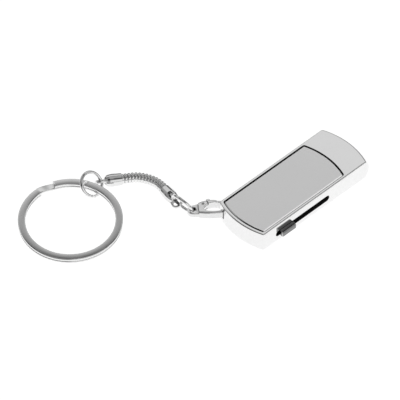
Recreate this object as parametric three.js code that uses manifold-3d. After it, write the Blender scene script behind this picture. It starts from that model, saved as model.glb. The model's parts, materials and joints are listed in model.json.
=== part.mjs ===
// A slide-out USB flash drive with a keychain: a pressed-metal drive body, and a lobster clasp,
// a link ring, a short snake chain, a jump ring and a split ring that trail from one corner.
// Millimetres. X runs along the drive towards its mouth, Z is up, and the origin is the middle
// of the drive's underside. The slider slot is in the -Y wall.

import * as THREE from 'three';
import { mergeVertices } from 'three/addons/utils/BufferGeometryUtils.js';
import Module from 'manifold-3d';

// ---------------------------------------------------------------- driving dimensions

// Drive body
const BODY_CHORD = 40.9;          // between the chords of the two bowed ends
const BODY_WIDTH = 18.1;
const BODY_HEIGHT = 6.6;
const END_RADIUS = 22.9;          // plan radius of the bowed ends
const CORNER_RADIUS = 0.7;
const EDGE_ROUND = 0.42;
const END_SWELL = 1.4;            // how far the right end bulges at mid height
const WALL = 0.85;
const ROOF = 0.9;
const BASE_THICKNESS = 0.85;
const FIT = 0.05;                 // gap between pieces that are fixed together
const RUN = 0.15;                 // gap between pieces that slide past each other
const SEAT = 0.02;                // gap between faces that rest on each other

// Top panel
const PANEL_LEFT = 0.75;          // from the left end's chord to the panel
const PANEL_LENGTH = 31.95;       // between the chords of the panel's bowed ends
const PANEL_BORDER = 1.0;         // rim of the body beside the panel
const PANEL_GROOVE = 0.2;
const PANEL_THICKNESS = 0.3;
const PANEL_SUNK = 0.05;
const ADHESIVE_THICKNESS = 0.08;

// Slider
const SLOT_LEFT = 4.8;            // from the left end's chord to the slot
const SLOT_LENGTH = 21.2;
const SLOT_HEIGHT = 2.0;
const SLOT_MIDDLE = 3.1;          // height of the slot's centre line
const KNOB_LENGTH = 5.3;
const KNOB_PROUD = 1.5;
const KNOB_CLEARANCE = 0.1;       // above and below the knob in its slot
const KNOB_FROM_SLOT_END = 1.35;  // from the slot's left end to the knob at rest
const GUIDE_THICKNESS = 0.5;
const DETENT_X = -6;              // middle of the detent spring's bump
const DETENT_WIDTH = 2.4;

// Plug
const PLUG_WIDTH = 12.0;
const PLUG_HEIGHT = 4.5;
const PLUG_LENGTH = 16.9;
const PLUG_SHEET = 0.3;
const TONGUE_THICKNESS = 1.75;
const PLUG_SETBACK = 2.1;         // from the tip of the bowed end back to the plug's mouth
const CONTACT_PITCHES = [-3.5, -1.0, 1.0, 3.5];
const CONTACT_WIDTH = 1.0;
const CONTACT_THICKNESS = 0.18;

// Carriage
const TRAY_BEHIND_KNOB = 4.736;   // from the knob's middle back to the tray's rear wall
const CARRIAGE_RUN = 0.175;       // above and below the carriage in the cavity
const TRAY_WIDTH = 13.6;
const TRAY_WALL = 0.7;
const TRAY_FLOOR = 0.5;
const BOARD_THICKNESS = 0.8;
const PLUG_TO_TRAY = 0.3;

// Cover screws
const SCREW_RADIUS = 0.4;
const SCREW_LENGTH = 3.0;
const SCREW_HEAD_RADIUS = 0.9;
const SCREW_HEAD_HEIGHT = 0.4;
const BOSS_RADIUS = 1.05;
const BOSS_FROM_MOUTH = 1.6;      // from the right end's chord to the two front bosses
const BOSS_FROM_REAR = 1.9;
const BOSS_FROM_WALL = 0.9;       // from the inside of the side wall

// Pierced corner for the clasp
const POST_INSET = 0.25;          // from the sharp corner in to the post's centre, each way
const POST_RADIUS = 1.1;
const POST_HEIGHT = 3.3;          // middle of the tunnel, and of the clasp in it
const TUNNEL_RADIUS = 2.8;
const TUNNEL_HEIGHT = 2.8;
const CORNER_BLOCK_WALL = 0.8;

// Lobster clasp
const CLASP_ANGLE = 142;          // degrees from +X, post to eye
const CLASP_REACH = 7.9;          // post to eye
const CLASP_THICKNESS = 2.5;
const CLASP_ROUND = 0.5;
const CLASP_EYE_RADIUS = 1.7;
const CLASP_EYE_THICKNESS = 1.3;
const CLASP_EYE_HOLE = 0.95;
const HOOK_INNER = 1.35;
const HOOK_OUTER = 2.45;
const TRIGGER_GAP = 0.12;
const RIVET_RADIUS = 0.32;

// Rings
const WIRE = 0.5;                 // wire radius of the link ring and the jump ring
const LINK_RADIUS = 3.65;         // centre line of the wire
const LINK_LEAN = 22;             // degrees from upright
const LINK_HEADING = 94.6;        // degrees from +X, clasp to chain
const JUMP_RADIUS = 3.55;
const JUMP_SLOPE = 45;            // degrees from flat
const JUMP_HEADING = 11.5;        // degrees from +X of the level diameter
const JUMP_SLIT = 6;              // degrees of the gap between the wire's ends
const SPLIT_OUTER = 15.0;
const SPLIT_BAND = 2.2;
const SPLIT_COIL = 0.9;           // thickness of one coil
const SPLIT_COIL_GAP = 0.06;
const SPLIT_LIFT = 1.7;           // how far the jump ring lifts the far side
const SPLIT_HEADING = 12.0;       // degrees from +X, ring's middle to the jump ring's lowest point
const SPLIT_TILT_HEADING = 40;    // degrees from +X of the side that is lifted
const JUMP_UNDER_BAND = 1.3;      // from the band's inner edge to the jump ring's lowest point
const SPLIT_JOG_START = 27;       // degrees where the coil steps up to the second turn
const SPLIT_JOG_SPAN = 20;

// Snake chain and ferrules
const CHAIN_RADIUS = 1.5;
const CHAIN_FLEX_GAP = 0.8;
const FERRULE_RADIUS = 1.95;
const FERRULE_LENGTH = 6.1;       // eye to mouth
const FERRULE_SOCKET = 2.3;
const SOCKET_CLEARANCE = 0.08;    // round the chain
const SOCKET_SPARE = 0.3;         // left empty behind the chain's end
const EYE_RADIUS = 1.9;
const EYE_HOLE = 1.25;
const EYE_THICKNESS = 1.15;
const EYE_ROUND = 0.45;
const NEAR_ROLL = 29;             // degrees that each ferrule is rolled about its own axis
const FAR_ROLL = 48;
const NEAR_HEADING = 81.6;        // degrees from +X, eye to mouth
const FAR_HEADING = -34.7;
const CHAIN_ROUTE = [             // from the near ferrule's mouth, in plan
  [0.2, 3.3],
  [-0.7, 6.4],
  [-2.7, 9.2],
];
const FAR_MOUTH = [-5.9, 11.4];   // the far ferrule's mouth, from the near one's

const FLOOR_GAP = 0.03;           // between the table and what lies on it

// ---------------------------------------------------------------- worked-out places

const HALF_WIDTH = BODY_WIDTH / 2;
const LEFT_CHORD = -BODY_CHORD / 2;
const RIGHT_CHORD = BODY_CHORD / 2;
const END_BOW = END_RADIUS - Math.sqrt(END_RADIUS ** 2 - HALF_WIDTH ** 2);
const CAVITY_TOP = BODY_HEIGHT - ROOF;
const PLUG_FRONT = RIGHT_CHORD + END_BOW - PLUG_SETBACK;
const PLUG_REAR = PLUG_FRONT - PLUG_LENGTH;
const PLUG_BOTTOM = (BASE_THICKNESS + CAVITY_TOP - PLUG_HEIGHT) / 2;
const PLUG_TOP = PLUG_BOTTOM + PLUG_HEIGHT;
const TONGUE_TOP = PLUG_BOTTOM + PLUG_SHEET + TONGUE_THICKNESS;
const TRAY_FRONT = PLUG_REAR - PLUG_TO_TRAY;
const BOARD_TOP = TONGUE_TOP;
const BOARD_BOTTOM = BOARD_TOP - BOARD_THICKNESS;
const SLOT_X0 = LEFT_CHORD + SLOT_LEFT;
const SLOT_X1 = SLOT_X0 + SLOT_LENGTH;
const KNOB_X = SLOT_X0 + KNOB_FROM_SLOT_END + KNOB_LENGTH / 2;
const KNOB_HEIGHT = SLOT_HEIGHT - 2 * KNOB_CLEARANCE;
const TRAY_BACK = KNOB_X - TRAY_BEHIND_KNOB;
const TRAY_BOTTOM = BASE_THICKNESS + CARRIAGE_RUN;
const COVER_TOP = CAVITY_TOP - CARRIAGE_RUN;
const WALL_INSIDE = HALF_WIDTH - WALL;
const GUIDE_INSIDE = WALL_INSIDE - FIT - GUIDE_THICKNESS;
const PANEL_TOP = BODY_HEIGHT - PANEL_SUNK;
const PANEL_BOTTOM = PANEL_TOP - PANEL_THICKNESS;
const POCKET_FLOOR = PANEL_BOTTOM - ADHESIVE_THICKNESS - SEAT;
const POST = new THREE.Vector3(LEFT_CHORD + POST_INSET, HALF_WIDTH - POST_INSET, POST_HEIGHT);
const BOSSES = {
  front_near: [RIGHT_CHORD - BOSS_FROM_MOUTH, -(WALL_INSIDE - BOSS_FROM_WALL)],
  front_far: [RIGHT_CHORD - BOSS_FROM_MOUTH, WALL_INSIDE - BOSS_FROM_WALL],
  rear: [LEFT_CHORD + BOSS_FROM_REAR, -(WALL_INSIDE - BOSS_FROM_WALL)],
};

const radians = THREE.MathUtils.degToRad;
const heading = (degrees) => new THREE.Vector3(Math.cos(radians(degrees)), Math.sin(radians(degrees)), 0);

// ---------------------------------------------------------------- materials

function finish(color, roughness, metalness) {
  return new THREE.MeshStandardMaterial({ color, roughness, metalness });
}

const CHROME = finish(0xdcdddf, 0.08, 1.0);
const SATIN = finish(0xb4b5b8, 0.45, 1.0);
const DARK_CHROME = finish(0x3a3b3f, 0.15, 1.0);
const STEEL = finish(0x9fa1a5, 0.3, 1.0);
const GOLD = finish(0xcaa45a, 0.3, 1.0);
const BLACK_PLASTIC = finish(0x151516, 0.5, 0.0);
const BOARD_GREEN = finish(0x1f5a35, 0.5, 0.0);
const ADHESIVE = finish(0xd8d2c0, 0.7, 0.0);
const CERAMIC = finish(0xb79a72, 0.5, 0.0);

// ---------------------------------------------------------------- solids: make, join and cut

const wasm = await Module();
wasm.setup();

function solid(geometry) {
  const bare = geometry.clone();
  bare.deleteAttribute('normal');
  bare.deleteAttribute('uv');
  const merged = mergeVertices(bare, 1e-5);
  return new wasm.Manifold(new wasm.Mesh({
    numProp: 3,
    vertProperties: new Float32Array(merged.attributes.position.array),
    triVerts: new Uint32Array(merged.index.array),
  }));
}

function join(...geometries) {
  return surface(geometries.map(solid).reduce((sum, next) => sum.add(next)));
}

function cut(geometry, ...tools) {
  return surface(tools.map(solid).reduce((rest, tool) => rest.subtract(tool), solid(geometry)));
}

function common(first, second) {
  return surface(solid(first).intersect(solid(second)));
}

function surface(manifold) {
  const { vertProperties, triVerts } = manifold.getMesh();
  const geometry = new THREE.BufferGeometry();
  geometry.setAttribute('position', new THREE.BufferAttribute(vertProperties, 3));
  geometry.setIndex(new THREE.BufferAttribute(triVerts, 1));
  geometry.computeVertexNormals();
  return geometry;
}

const AXIS_X = new THREE.Vector3(1, 0, 0);
const AXIS_Y = new THREE.Vector3(0, 1, 0);
const AXIS_Z = new THREE.Vector3(0, 0, 1);
// Turns that lay an extruded outline into another plane: its sides along Y and Z, or X and Z.
const ALONG_X = new THREE.Matrix4().makeBasis(AXIS_Y, AXIS_Z, AXIS_X);
const ALONG_MINUS_Y = new THREE.Matrix4().makeBasis(AXIS_X, AXIS_Z, AXIS_Y.clone().negate());

function arc(x, y, radius, from, to, steps) {
  return Array.from({ length: steps + 1 }, (_, i) => {
    const angle = radians(from + ((to - from) * i) / steps);
    return new THREE.Vector2(x + radius * Math.cos(angle), y + radius * Math.sin(angle));
  });
}

function circle(x, y, radius, steps = 24) {
  return arc(x, y, radius, 0, 360 - 360 / steps, steps - 1);
}

function extrude(points, bottom, top, round = 0, roundSteps = 2) {
  const geometry = new THREE.ExtrudeGeometry(new THREE.Shape(points), {
    depth: top - bottom - 2 * round,
    bevelEnabled: round > 0,
    bevelThickness: round,
    bevelSize: round,
    bevelOffset: -round,
    bevelSegments: roundSteps,
  });
  return geometry.translate(0, 0, bottom + round);
}

function block(x0, x1, y0, y1, z0, z1) {
  const geometry = new THREE.BoxGeometry(x1 - x0, y1 - y0, z1 - z0);
  return geometry.translate((x0 + x1) / 2, (y0 + y1) / 2, (z0 + z1) / 2);
}

function peg(x, y, radius, bottom, top, steps = 24) {
  return extrude(circle(x, y, radius, steps), bottom, top);
}

function roundedBox(width, height, radius, steps = 4) {
  const x = width / 2 - radius;
  const y = height / 2 - radius;
  return [
    ...arc(x, y, radius, 0, 90, steps),
    ...arc(-x, y, radius, 90, 180, steps),
    ...arc(-x, -y, radius, 180, 270, steps),
    ...arc(x, -y, radius, 270, 360, steps),
  ];
}

// Straight sides and two bowed ends, whose arcs meet the sides in small rounded corners.
function bowedOutline(left, right, half, corner, inset = 0) {
  const reach = Math.sqrt(END_RADIUS ** 2 - half ** 2);
  const side = half - inset;
  const bow = END_RADIUS - inset;
  const round = Math.max(corner - inset, 0.2);
  const toRound = Math.sqrt((bow - round) ** 2 - (side - round) ** 2);
  const swing = THREE.MathUtils.radToDeg(Math.atan2(side - round, toRound));
  const rightCentre = right - reach;
  const leftCentre = left + reach;
  const high = side - round;
  return [
    ...arc(rightCentre, 0, bow, -swing, swing, 14),
    ...arc(rightCentre + toRound, high, round, swing, 90, 4).slice(1),
    ...arc(leftCentre - toRound, high, round, 90, 180 - swing, 4),
    ...arc(leftCentre, 0, bow, 180 - swing, 180 + swing, 14).slice(1),
    ...arc(leftCentre - toRound, -high, round, 180 + swing, 270, 4).slice(1),
    ...arc(rightCentre + toRound, -high, round, 270, 360 - swing, 4).slice(0, -1),
  ];
}

function bodyOutline(inset) {
  return bowedOutline(LEFT_CHORD, RIGHT_CHORD, HALF_WIDTH, CORNER_RADIUS, inset);
}

function panelOutline(inset) {
  const left = LEFT_CHORD + PANEL_LEFT;
  return bowedOutline(left, left + PANEL_LENGTH, HALF_WIDTH - PANEL_BORDER, 0.5, inset);
}

function slotCutter(fromY, toY) {
  const radius = SLOT_HEIGHT / 2;
  const outline = [
    ...arc(SLOT_X1 - radius, SLOT_MIDDLE, radius, -90, 90, 8),
    ...arc(SLOT_X0 + radius, SLOT_MIDDLE, radius, 90, 270, 8),
  ];
  return extrude(outline, fromY, toY).applyMatrix4(ALONG_MINUS_Y);
}

// ---------------------------------------------------------------- the scene

const assembly = new THREE.Group();
const housing = new THREE.Group();
const carriage = new THREE.Group();
const keychain = new THREE.Group();
assembly.add(housing, carriage, keychain);

function place(group, name, geometry, material) {
  const mesh = new THREE.Mesh(geometry, material);
  mesh.name = name;
  group.add(mesh);
  return mesh;
}

// ---------------------------------------------------------------- housing

// Skin through a stack of outlines of equal length, given as [points, z], with flat ends.
function loft(rings) {
  const count = rings[0][0].length;
  const positions = rings.flatMap(([points, z]) => points.flatMap(({ x, y }) => [x, y, z]));
  const indices = [];
  for (let r = 0; r < rings.length - 1; r += 1) {
    for (let i = 0; i < count; i += 1) {
      const [a, b] = [r * count + i, r * count + ((i + 1) % count)];
      indices.push(a, b, b + count, a, b + count, a + count);
    }
  }
  const last = (rings.length - 1) * count;
  for (const [i, j, k] of THREE.ShapeUtils.triangulateShape(rings[0][0], [])) {
    indices.push(k, j, i, last + i, last + j, last + k);
  }
  const geometry = new THREE.BufferGeometry();
  geometry.setAttribute('position', new THREE.BufferAttribute(new Float32Array(positions), 3));
  return geometry.setIndex(indices);
}

// The outside of the shell, with rounded edges and a right end that swells towards mid height.
function shellSkin() {
  const edge = arc(0, 0, EDGE_ROUND, 0, 90, 3);
  const straight = BODY_HEIGHT - 2 * EDGE_ROUND;
  const levels = [
    ...edge.map(({ x, y }) => [EDGE_ROUND - x, EDGE_ROUND - y]).reverse(),
    ...[1, 2, 3, 4, 5].map((i) => [0, EDGE_ROUND + (straight * i) / 6]),
    ...edge.map(({ x, y }) => [EDGE_ROUND - x, BODY_HEIGHT - EDGE_ROUND + y]),
  ];
  return loft(levels.map(([inset, z]) => {
    const swell = END_SWELL * (1 - ((2 * z) / BODY_HEIGHT - 1) ** 2);
    const endStart = RIGHT_CHORD - 2 * CORNER_RADIUS;
    const points = bodyOutline(inset).map(({ x, y }) => (
      new THREE.Vector2(x > endStart ? x + swell : x, y)
    ));
    return [points, z];
  }));
}

function housingShell() {
  const blockRadius = TUNNEL_RADIUS + CORNER_BLOCK_WALL;
  const skin = shellSkin();
  const hollow = extrude(bodyOutline(WALL), -1, CAVITY_TOP);
  const cornerBlock = common(peg(POST.x, POST.y, blockRadius, 0, CAVITY_TOP + 0.1, 40), skin);
  const bosses = Object.values(BOSSES).map(([x, y]) => (
    common(peg(x, y, BOSS_RADIUS, BASE_THICKNESS + SEAT, CAVITY_TOP + 0.1), skin)
  ));
  const pilots = Object.values(BOSSES).map(([x, y]) => (
    peg(x, y, SCREW_RADIUS + FIT, -1, SCREW_LENGTH + 0.4, 16)
  ));
  const tunnel = cut(
    peg(POST.x, POST.y, TUNNEL_RADIUS, POST.z - TUNNEL_HEIGHT / 2, POST.z + TUNNEL_HEIGHT / 2, 40),
    peg(POST.x, POST.y, POST_RADIUS, 0, BODY_HEIGHT, 24),
  );
  const pocket = extrude(panelOutline(-PANEL_GROOVE), POCKET_FLOOR, BODY_HEIGHT + 1);
  const mouthHalf = PLUG_WIDTH / 2 + RUN + 2 * FIT;
  const past = RIGHT_CHORD + 2 * END_BOW;
  const mouth = block(PLUG_REAR, past, -mouthHalf, mouthHalf, BASE_THICKNESS, CAVITY_TOP);
  const slot = slotCutter(GUIDE_INSIDE, HALF_WIDTH + 1);
  return cut(join(cut(skin, hollow), cornerBlock, ...bosses), ...pilots, tunnel, pocket, mouth, slot);
}

function baseCover() {
  const plate = extrude(bodyOutline(WALL + FIT), 0, BASE_THICKNESS);
  const notch = peg(POST.x, POST.y, TUNNEL_RADIUS + CORNER_BLOCK_WALL + FIT, -1, BASE_THICKNESS + 1, 40);
  const holes = Object.values(BOSSES).flatMap(([x, y]) => [
    peg(x, y, SCREW_RADIUS + FIT, -1, BASE_THICKNESS + 1, 16),
    peg(x, y, SCREW_HEAD_RADIUS + FIT, -1, SCREW_HEAD_HEIGHT + FIT, 24),
  ]);
  return cut(plate, notch, ...holes);
}

function coverScrew() {
  const recessReach = SCREW_HEAD_RADIUS * 0.6;
  const recessHalf = 0.13;
  const recessDepth = SCREW_HEAD_HEIGHT / 2;
  const head = peg(0, 0, SCREW_HEAD_RADIUS, 0, SCREW_HEAD_HEIGHT);
  return cut(
    join(head, peg(0, 0, SCREW_RADIUS, 0, SCREW_LENGTH, 12)),
    block(-recessReach, recessReach, -recessHalf, recessHalf, -1, recessDepth),
    block(-recessHalf, recessHalf, -recessReach, recessReach, -1, recessDepth),
  );
}

function sliderGuide() {
  const end = 1.2;
  const strip = block(
    SLOT_X0 - end, SLOT_X1 + end,
    -(WALL_INSIDE - FIT), -GUIDE_INSIDE,
    BASE_THICKNESS + FIT, CAVITY_TOP - FIT,
  );
  return cut(strip, slotCutter(GUIDE_INSIDE - 1, HALF_WIDTH));
}

// A leaf of spring steel along the far wall, with a bump that just clears the carriage.
function detentSpring() {
  const leaf = 0.25;
  const back = WALL_INSIDE - FIT;
  const front = back - leaf;
  const tip = TRAY_WIDTH / 2 + RUN;
  const [tipHalf, rampHalf, lengthHalf] = [0.6, 2.6, 6];
  // How far a bend's outer corner lies from its inner one, so that the ramps are as thick as the leaf.
  const shift = leaf * Math.tan(Math.atan2(front - tip, rampHalf - tipHalf) / 2);
  const rightHalf = [
    [tipHalf, tip], [rampHalf, front], [lengthHalf, front],
    [lengthHalf, back], [rampHalf - shift, back], [tipHalf - shift, tip + leaf],
  ];
  const leftHalf = rightHalf.map(([x, y]) => [-x, y]).reverse();
  const outline = [...rightHalf, ...leftHalf].map(([x, y]) => new THREE.Vector2(DETENT_X + x, y));
  return extrude(outline, SLOT_MIDDLE - DETENT_WIDTH / 2, SLOT_MIDDLE + DETENT_WIDTH / 2);
}

place(housing, 'housing_shell', housingShell(), CHROME);
place(housing, 'base_cover', baseCover(), CHROME);
place(housing, 'top_panel', extrude(panelOutline(0), PANEL_BOTTOM, PANEL_TOP), SATIN);
const ADHESIVE_INSET = 0.4;
const adhesiveBottom = POCKET_FLOOR + SEAT / 2;
const adhesive = extrude(panelOutline(ADHESIVE_INSET), adhesiveBottom, adhesiveBottom + ADHESIVE_THICKNESS);
place(housing, 'panel_adhesive', adhesive, ADHESIVE);
for (const [corner, [x, y]] of Object.entries(BOSSES)) {
  place(housing, `cover_screw_${corner}`, coverScrew(), STEEL).position.set(x, y, SEAT);
}
place(housing, 'slider_guide', sliderGuide(), BLACK_PLASTIC);
place(housing, 'detent_spring', detentSpring(), STEEL);

// ---------------------------------------------------------------- carriage and plug

const TAB_LENGTH = 2.8;
const TAB_HEIGHT = 1.3;
const SHELL_SPLIT = SLOT_MIDDLE + 0.3;

function tabNotch() {
  const half = TAB_LENGTH / 2 + FIT;
  const tall = TAB_HEIGHT / 2 + FIT;
  return block(
    KNOB_X - half, KNOB_X + half,
    -TRAY_WIDTH / 2 - 1, -TRAY_WIDTH / 2 + TRAY_WALL + SEAT,
    SLOT_MIDDLE - tall, SLOT_MIDDLE + tall,
  );
}

function carriageTray() {
  const half = TRAY_WIDTH / 2;
  const inside = half - TRAY_WALL;
  const bottom = TRAY_BOTTOM;
  const tub = cut(
    block(TRAY_BACK, TRAY_FRONT, -half, half, bottom, SHELL_SPLIT),
    block(TRAY_BACK + TRAY_WALL, TRAY_FRONT + 1, -inside, inside, bottom + TRAY_FLOOR, SHELL_SPLIT + 1),
    tabNotch(),
  );
  const propInset = 2.5;
  const props = [];
  for (const x of [TRAY_BACK + propInset, TRAY_FRONT - propInset]) {
    for (const y of [propInset - half, half - propInset]) {
      props.push(peg(x, y, 0.6, bottom + TRAY_FLOOR / 2, BOARD_BOTTOM - SEAT, 12));
    }
  }
  return join(tub, ...props);
}

function carriageCover() {
  const half = TRAY_WIDTH / 2;
  const inside = half - TRAY_WALL;
  const bottom = SHELL_SPLIT + SEAT;
  return cut(
    block(TRAY_BACK, TRAY_FRONT, -half, half, bottom, COVER_TOP),
    block(TRAY_BACK + TRAY_WALL, TRAY_FRONT + 1, -inside, inside, 0, COVER_TOP - TRAY_FLOOR),
    tabNotch(),
  );
}

function sliderKnob() {
  const half = KNOB_LENGTH / 2;
  const front = -(HALF_WIDTH + KNOB_PROUD);
  const back = -(GUIDE_INSIDE - RUN - 0.2);
  const low = SLOT_MIDDLE - KNOB_HEIGHT / 2;
  const nose = 0.4;
  const outline = [
    ...arc(KNOB_X - half + nose, front + nose, nose, 180, 270, 6),
    ...arc(KNOB_X + half - nose, front + nose, nose, 270, 360, 6),
    new THREE.Vector2(KNOB_X + half, back),
    new THREE.Vector2(KNOB_X - half, back),
  ];
  const grip = extrude(outline, low, low + KNOB_HEIGHT, 0.15, 1);
  const flangeHalf = half + 1;
  const flangeRise = 1.7;
  const flange = block(
    KNOB_X - flangeHalf, KNOB_X + flangeHalf,
    -(GUIDE_INSIDE - RUN), -TRAY_WIDTH / 2 - 2 * FIT,
    SLOT_MIDDLE - flangeRise, SLOT_MIDDLE + flangeRise,
  );
  const tab = block(
    KNOB_X - TAB_LENGTH / 2, KNOB_X + TAB_LENGTH / 2,
    -TRAY_WIDTH / 2 - 0.3, -TRAY_WIDTH / 2 + TRAY_WALL,
    SLOT_MIDDLE - TAB_HEIGHT / 2, SLOT_MIDDLE + TAB_HEIGHT / 2,
  );
  return join(grip, flange, tab);
}

function plugShell() {
  const middle = PLUG_BOTTOM + PLUG_HEIGHT / 2;
  const tube = (grow, from, to) => extrude(
    roundedBox(PLUG_WIDTH + 2 * grow, PLUG_HEIGHT + 2 * grow, 0.5 + grow), from, to,
  ).applyMatrix4(ALONG_X).translate(0, 0, middle);
  const windows = [-2.75, 2.75].map((y) => (
    block(PLUG_FRONT - 6.5, PLUG_FRONT - 4.0, y - 1, y + 1, PLUG_BOTTOM - 1, PLUG_TOP + 1)
  ));
  return cut(tube(0, PLUG_REAR, PLUG_FRONT), tube(-PLUG_SHEET, PLUG_REAR - 1, PLUG_FRONT + 1), ...windows);
}

function plugInsulator() {
  const side = PLUG_WIDTH / 2 - PLUG_SHEET - 0.1;
  const bottom = PLUG_BOTTOM + PLUG_SHEET + FIT;
  const top = PLUG_TOP - PLUG_SHEET - FIT;
  const start = PLUG_REAR + 0.4;
  const rear = start + 4.8;
  const grooves = CONTACT_PITCHES.map((y) => block(
    start - 1, rear + 1, y - CONTACT_WIDTH / 2 - FIT, y + CONTACT_WIDTH / 2 + FIT,
    TONGUE_TOP, TONGUE_TOP + CONTACT_THICKNESS + 2 * FIT,
  ));
  return cut(
    join(
      block(start, PLUG_FRONT - 0.3, -side + 0.3, side - 0.3, bottom, TONGUE_TOP),
      block(start, rear, -side + 0.3, side - 0.3, bottom + 0.1, top),
    ),
    ...grooves,
  );
}

place(carriage, 'carriage_tray', carriageTray(), BLACK_PLASTIC);
place(carriage, 'carriage_cover', carriageCover(), BLACK_PLASTIC);
place(carriage, 'slider_knob', sliderKnob(), DARK_CHROME);
place(carriage, 'plug_shell', plugShell(), STEEL);
place(carriage, 'plug_insulator', plugInsulator(), BLACK_PLASTIC);
CONTACT_PITCHES.forEach((y, i) => {
  const tip = Math.abs(y) > 2 ? PLUG_FRONT - 1.2 : PLUG_FRONT - 2.2;
  place(
    carriage,
    `plug_contact_${i + 1}`,
    block(
      TRAY_FRONT - 2, tip,
      y - CONTACT_WIDTH / 2, y + CONTACT_WIDTH / 2,
      TONGUE_TOP + SEAT, TONGUE_TOP + SEAT + CONTACT_THICKNESS,
    ),
    GOLD,
  );
});

// The board and what is soldered to it: x0, x1, y0, y1 from the tray's front, and height.
const BOARD_SIDE = TRAY_WIDTH / 2 - TRAY_WALL - RUN;
const BOARD_PARTS = {
  memory_chip: [-17.6, -8.6, -5.4, 5.4, 1.0],
  controller_chip: [-7.9, -2.9, -2.5, 2.5, 0.8],
  crystal: [-7.4, -4.2, 3.2, 5.4, 0.7],
  capacitor_1: [-7.2, -6.2, -5.0, -4.4, 0.5],
  capacitor_2: [-5.6, -4.6, -5.0, -4.4, 0.5],
  capacitor_3: [-4.0, -3.0, -5.0, -4.4, 0.5],
};
const BOARD_FINISHES = { memory_chip: BLACK_PLASTIC, controller_chip: BLACK_PLASTIC, crystal: STEEL };

place(
  carriage,
  'circuit_board',
  block(TRAY_BACK + TRAY_WALL + 2 * FIT, TRAY_FRONT, -BOARD_SIDE, BOARD_SIDE, BOARD_BOTTOM, BOARD_TOP),
  BOARD_GREEN,
);
for (const [name, [x0, x1, y0, y1, height]] of Object.entries(BOARD_PARTS)) {
  const seat = BOARD_TOP + SEAT;
  place(
    carriage,
    name,
    block(TRAY_FRONT + x0, TRAY_FRONT + x1, y0, y1, seat, seat + height),
    BOARD_FINISHES[name] ?? CERAMIC,
  );
}

// ---------------------------------------------------------------- lobster clasp

// Drawn flat about the corner post, with the eye along +X and the trigger on the +Y side.
const TRIGGER_PIVOT = [4.9, 1.5];
const TRIGGER_REACH = 4.15;       // rivet to the trigger's tip
const TRIGGER_ROOT = 1.0;
const TRIGGER_SWING = 18;

function smooth(points, divisions) {
  const curve = new THREE.SplineCurve(points.map(([x, y]) => new THREE.Vector2(x, y)));
  return curve.getSpacedPoints(divisions);
}

function claspBlank() {
  const eye = CLASP_REACH;
  const outline = [
    ...arc(eye, 0, CLASP_EYE_RADIUS, -80, 80, 8),
    ...smooth([[eye - 1.4, 2.1], [eye - 2.9, 2.75], [2.6, 3.05], [1.2, 2.9], [0.3, HOOK_OUTER]], 10),
    ...arc(0, 0, HOOK_OUTER, 96, 264, 12),
    ...smooth([[0.4, -HOOK_OUTER], [3.2, -2.35], [eye - 1.6, -1.85]], 6),
  ];
  const opening = [
    ...arc(0, 0, HOOK_INNER, -85, -275, 14).reverse(),
    ...smooth([
      [0.9, -1.5], [2.4, -1.45], [4.1, -1.1], [4.9, -0.2], [4.1, 1.1], [2.7, 1.75], [1.3, 1.85],
    ], 14),
  ];
  const half = CLASP_THICKNESS / 2;
  const thin = CLASP_EYE_THICKNESS / 2;
  const faces = [[thin, half + 1], [-half - 1, -thin]];
  return cut(
    extrude(outline, -half, half, CLASP_ROUND, 3),
    extrude(opening, -half - 1, half + 1),
    peg(eye, 0, CLASP_EYE_HOLE, -half - 1, half + 1, 20),
    ...faces.map(([low, high]) => block(eye - 1.6, eye + 3, -3, 3, low, high)),
  );
}

// What the trigger takes up in plan: a round root about the rivet, and a tip on an arc about it.
function triggerZone(grow, swing = 0) {
  const [x, y] = TRIGGER_PIVOT;
  const outline = [
    ...arc(0, 0, TRIGGER_REACH + grow, 188, 140, 8).reverse(),
    ...arc(0, 0, TRIGGER_ROOT + grow, 240, 380, 8),
    new THREE.Vector2(0.75 + grow, 4.5),
  ];
  return extrude(outline, -CLASP_THICKNESS, CLASP_THICKNESS).rotateZ(radians(swing)).translate(x, y, 0);
}

const CHEEK = 0.7;                // half the gap between the cheeks that hold the rivet
const CHEEK_RADIUS = 1.4;

function claspBody() {
  const [x, y] = TRIGGER_PIVOT;
  const half = CLASP_THICKNESS / 2;
  const blank = claspBlank();
  const cheeks = common(
    cut(peg(x, y, CHEEK_RADIUS, -half - 1, half + 1, 20), peg(x, y, 3, -CHEEK, CHEEK, 8)),
    blank,
  );
  const swept = [0, TRIGGER_SWING / 2, TRIGGER_SWING].map((swing) => triggerZone(TRIGGER_GAP, swing));
  return cut(
    join(cut(blank, ...swept), cheeks),
    peg(x, y, RIVET_RADIUS + 0.03, -half - 1, half + 1, 16),
  );
}

function claspTrigger() {
  const [x, y] = TRIGGER_PIVOT;
  const half = CLASP_THICKNESS / 2;
  const clear = CHEEK_RADIUS + 0.2;
  const nub = extrude(roundedBox(1.3, 1.4, 0.4), -0.7, 0.7, 0.15, 1).translate(3.3, 3.15, 0);
  return cut(
    join(common(claspBlank(), triggerZone(0)), nub),
    peg(x, y, clear, CHEEK - 0.1, half + 1, 20),
    peg(x, y, clear, -half - 1, 0.1 - CHEEK, 20),
    peg(x, y, RIVET_RADIUS + 0.08, -half - 1, half + 1, 16),
    peg(x, y, 0.75, 0.1, half + 1, 20),
  );
}

// One and a half turns of fine wire in the trigger's counterbore, round the rivet.
function claspSpring() {
  const wire = 0.08;
  const turns = 1.5;
  class Coil extends THREE.Curve {
    getPoint(t) {
      const angle = 2 * Math.PI * turns * t;
      return new THREE.Vector3(0.57 * Math.cos(angle), 0.57 * Math.sin(angle), 0.2 + 0.29 * t);
    }
  }
  const geometry = new THREE.ExtrudeGeometry(new THREE.Shape(circle(0, 0, wire, 6)), {
    steps: 36,
    extrudePath: new Coil(),
  });
  return geometry.translate(TRIGGER_PIVOT[0], TRIGGER_PIVOT[1], 0);
}

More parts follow.
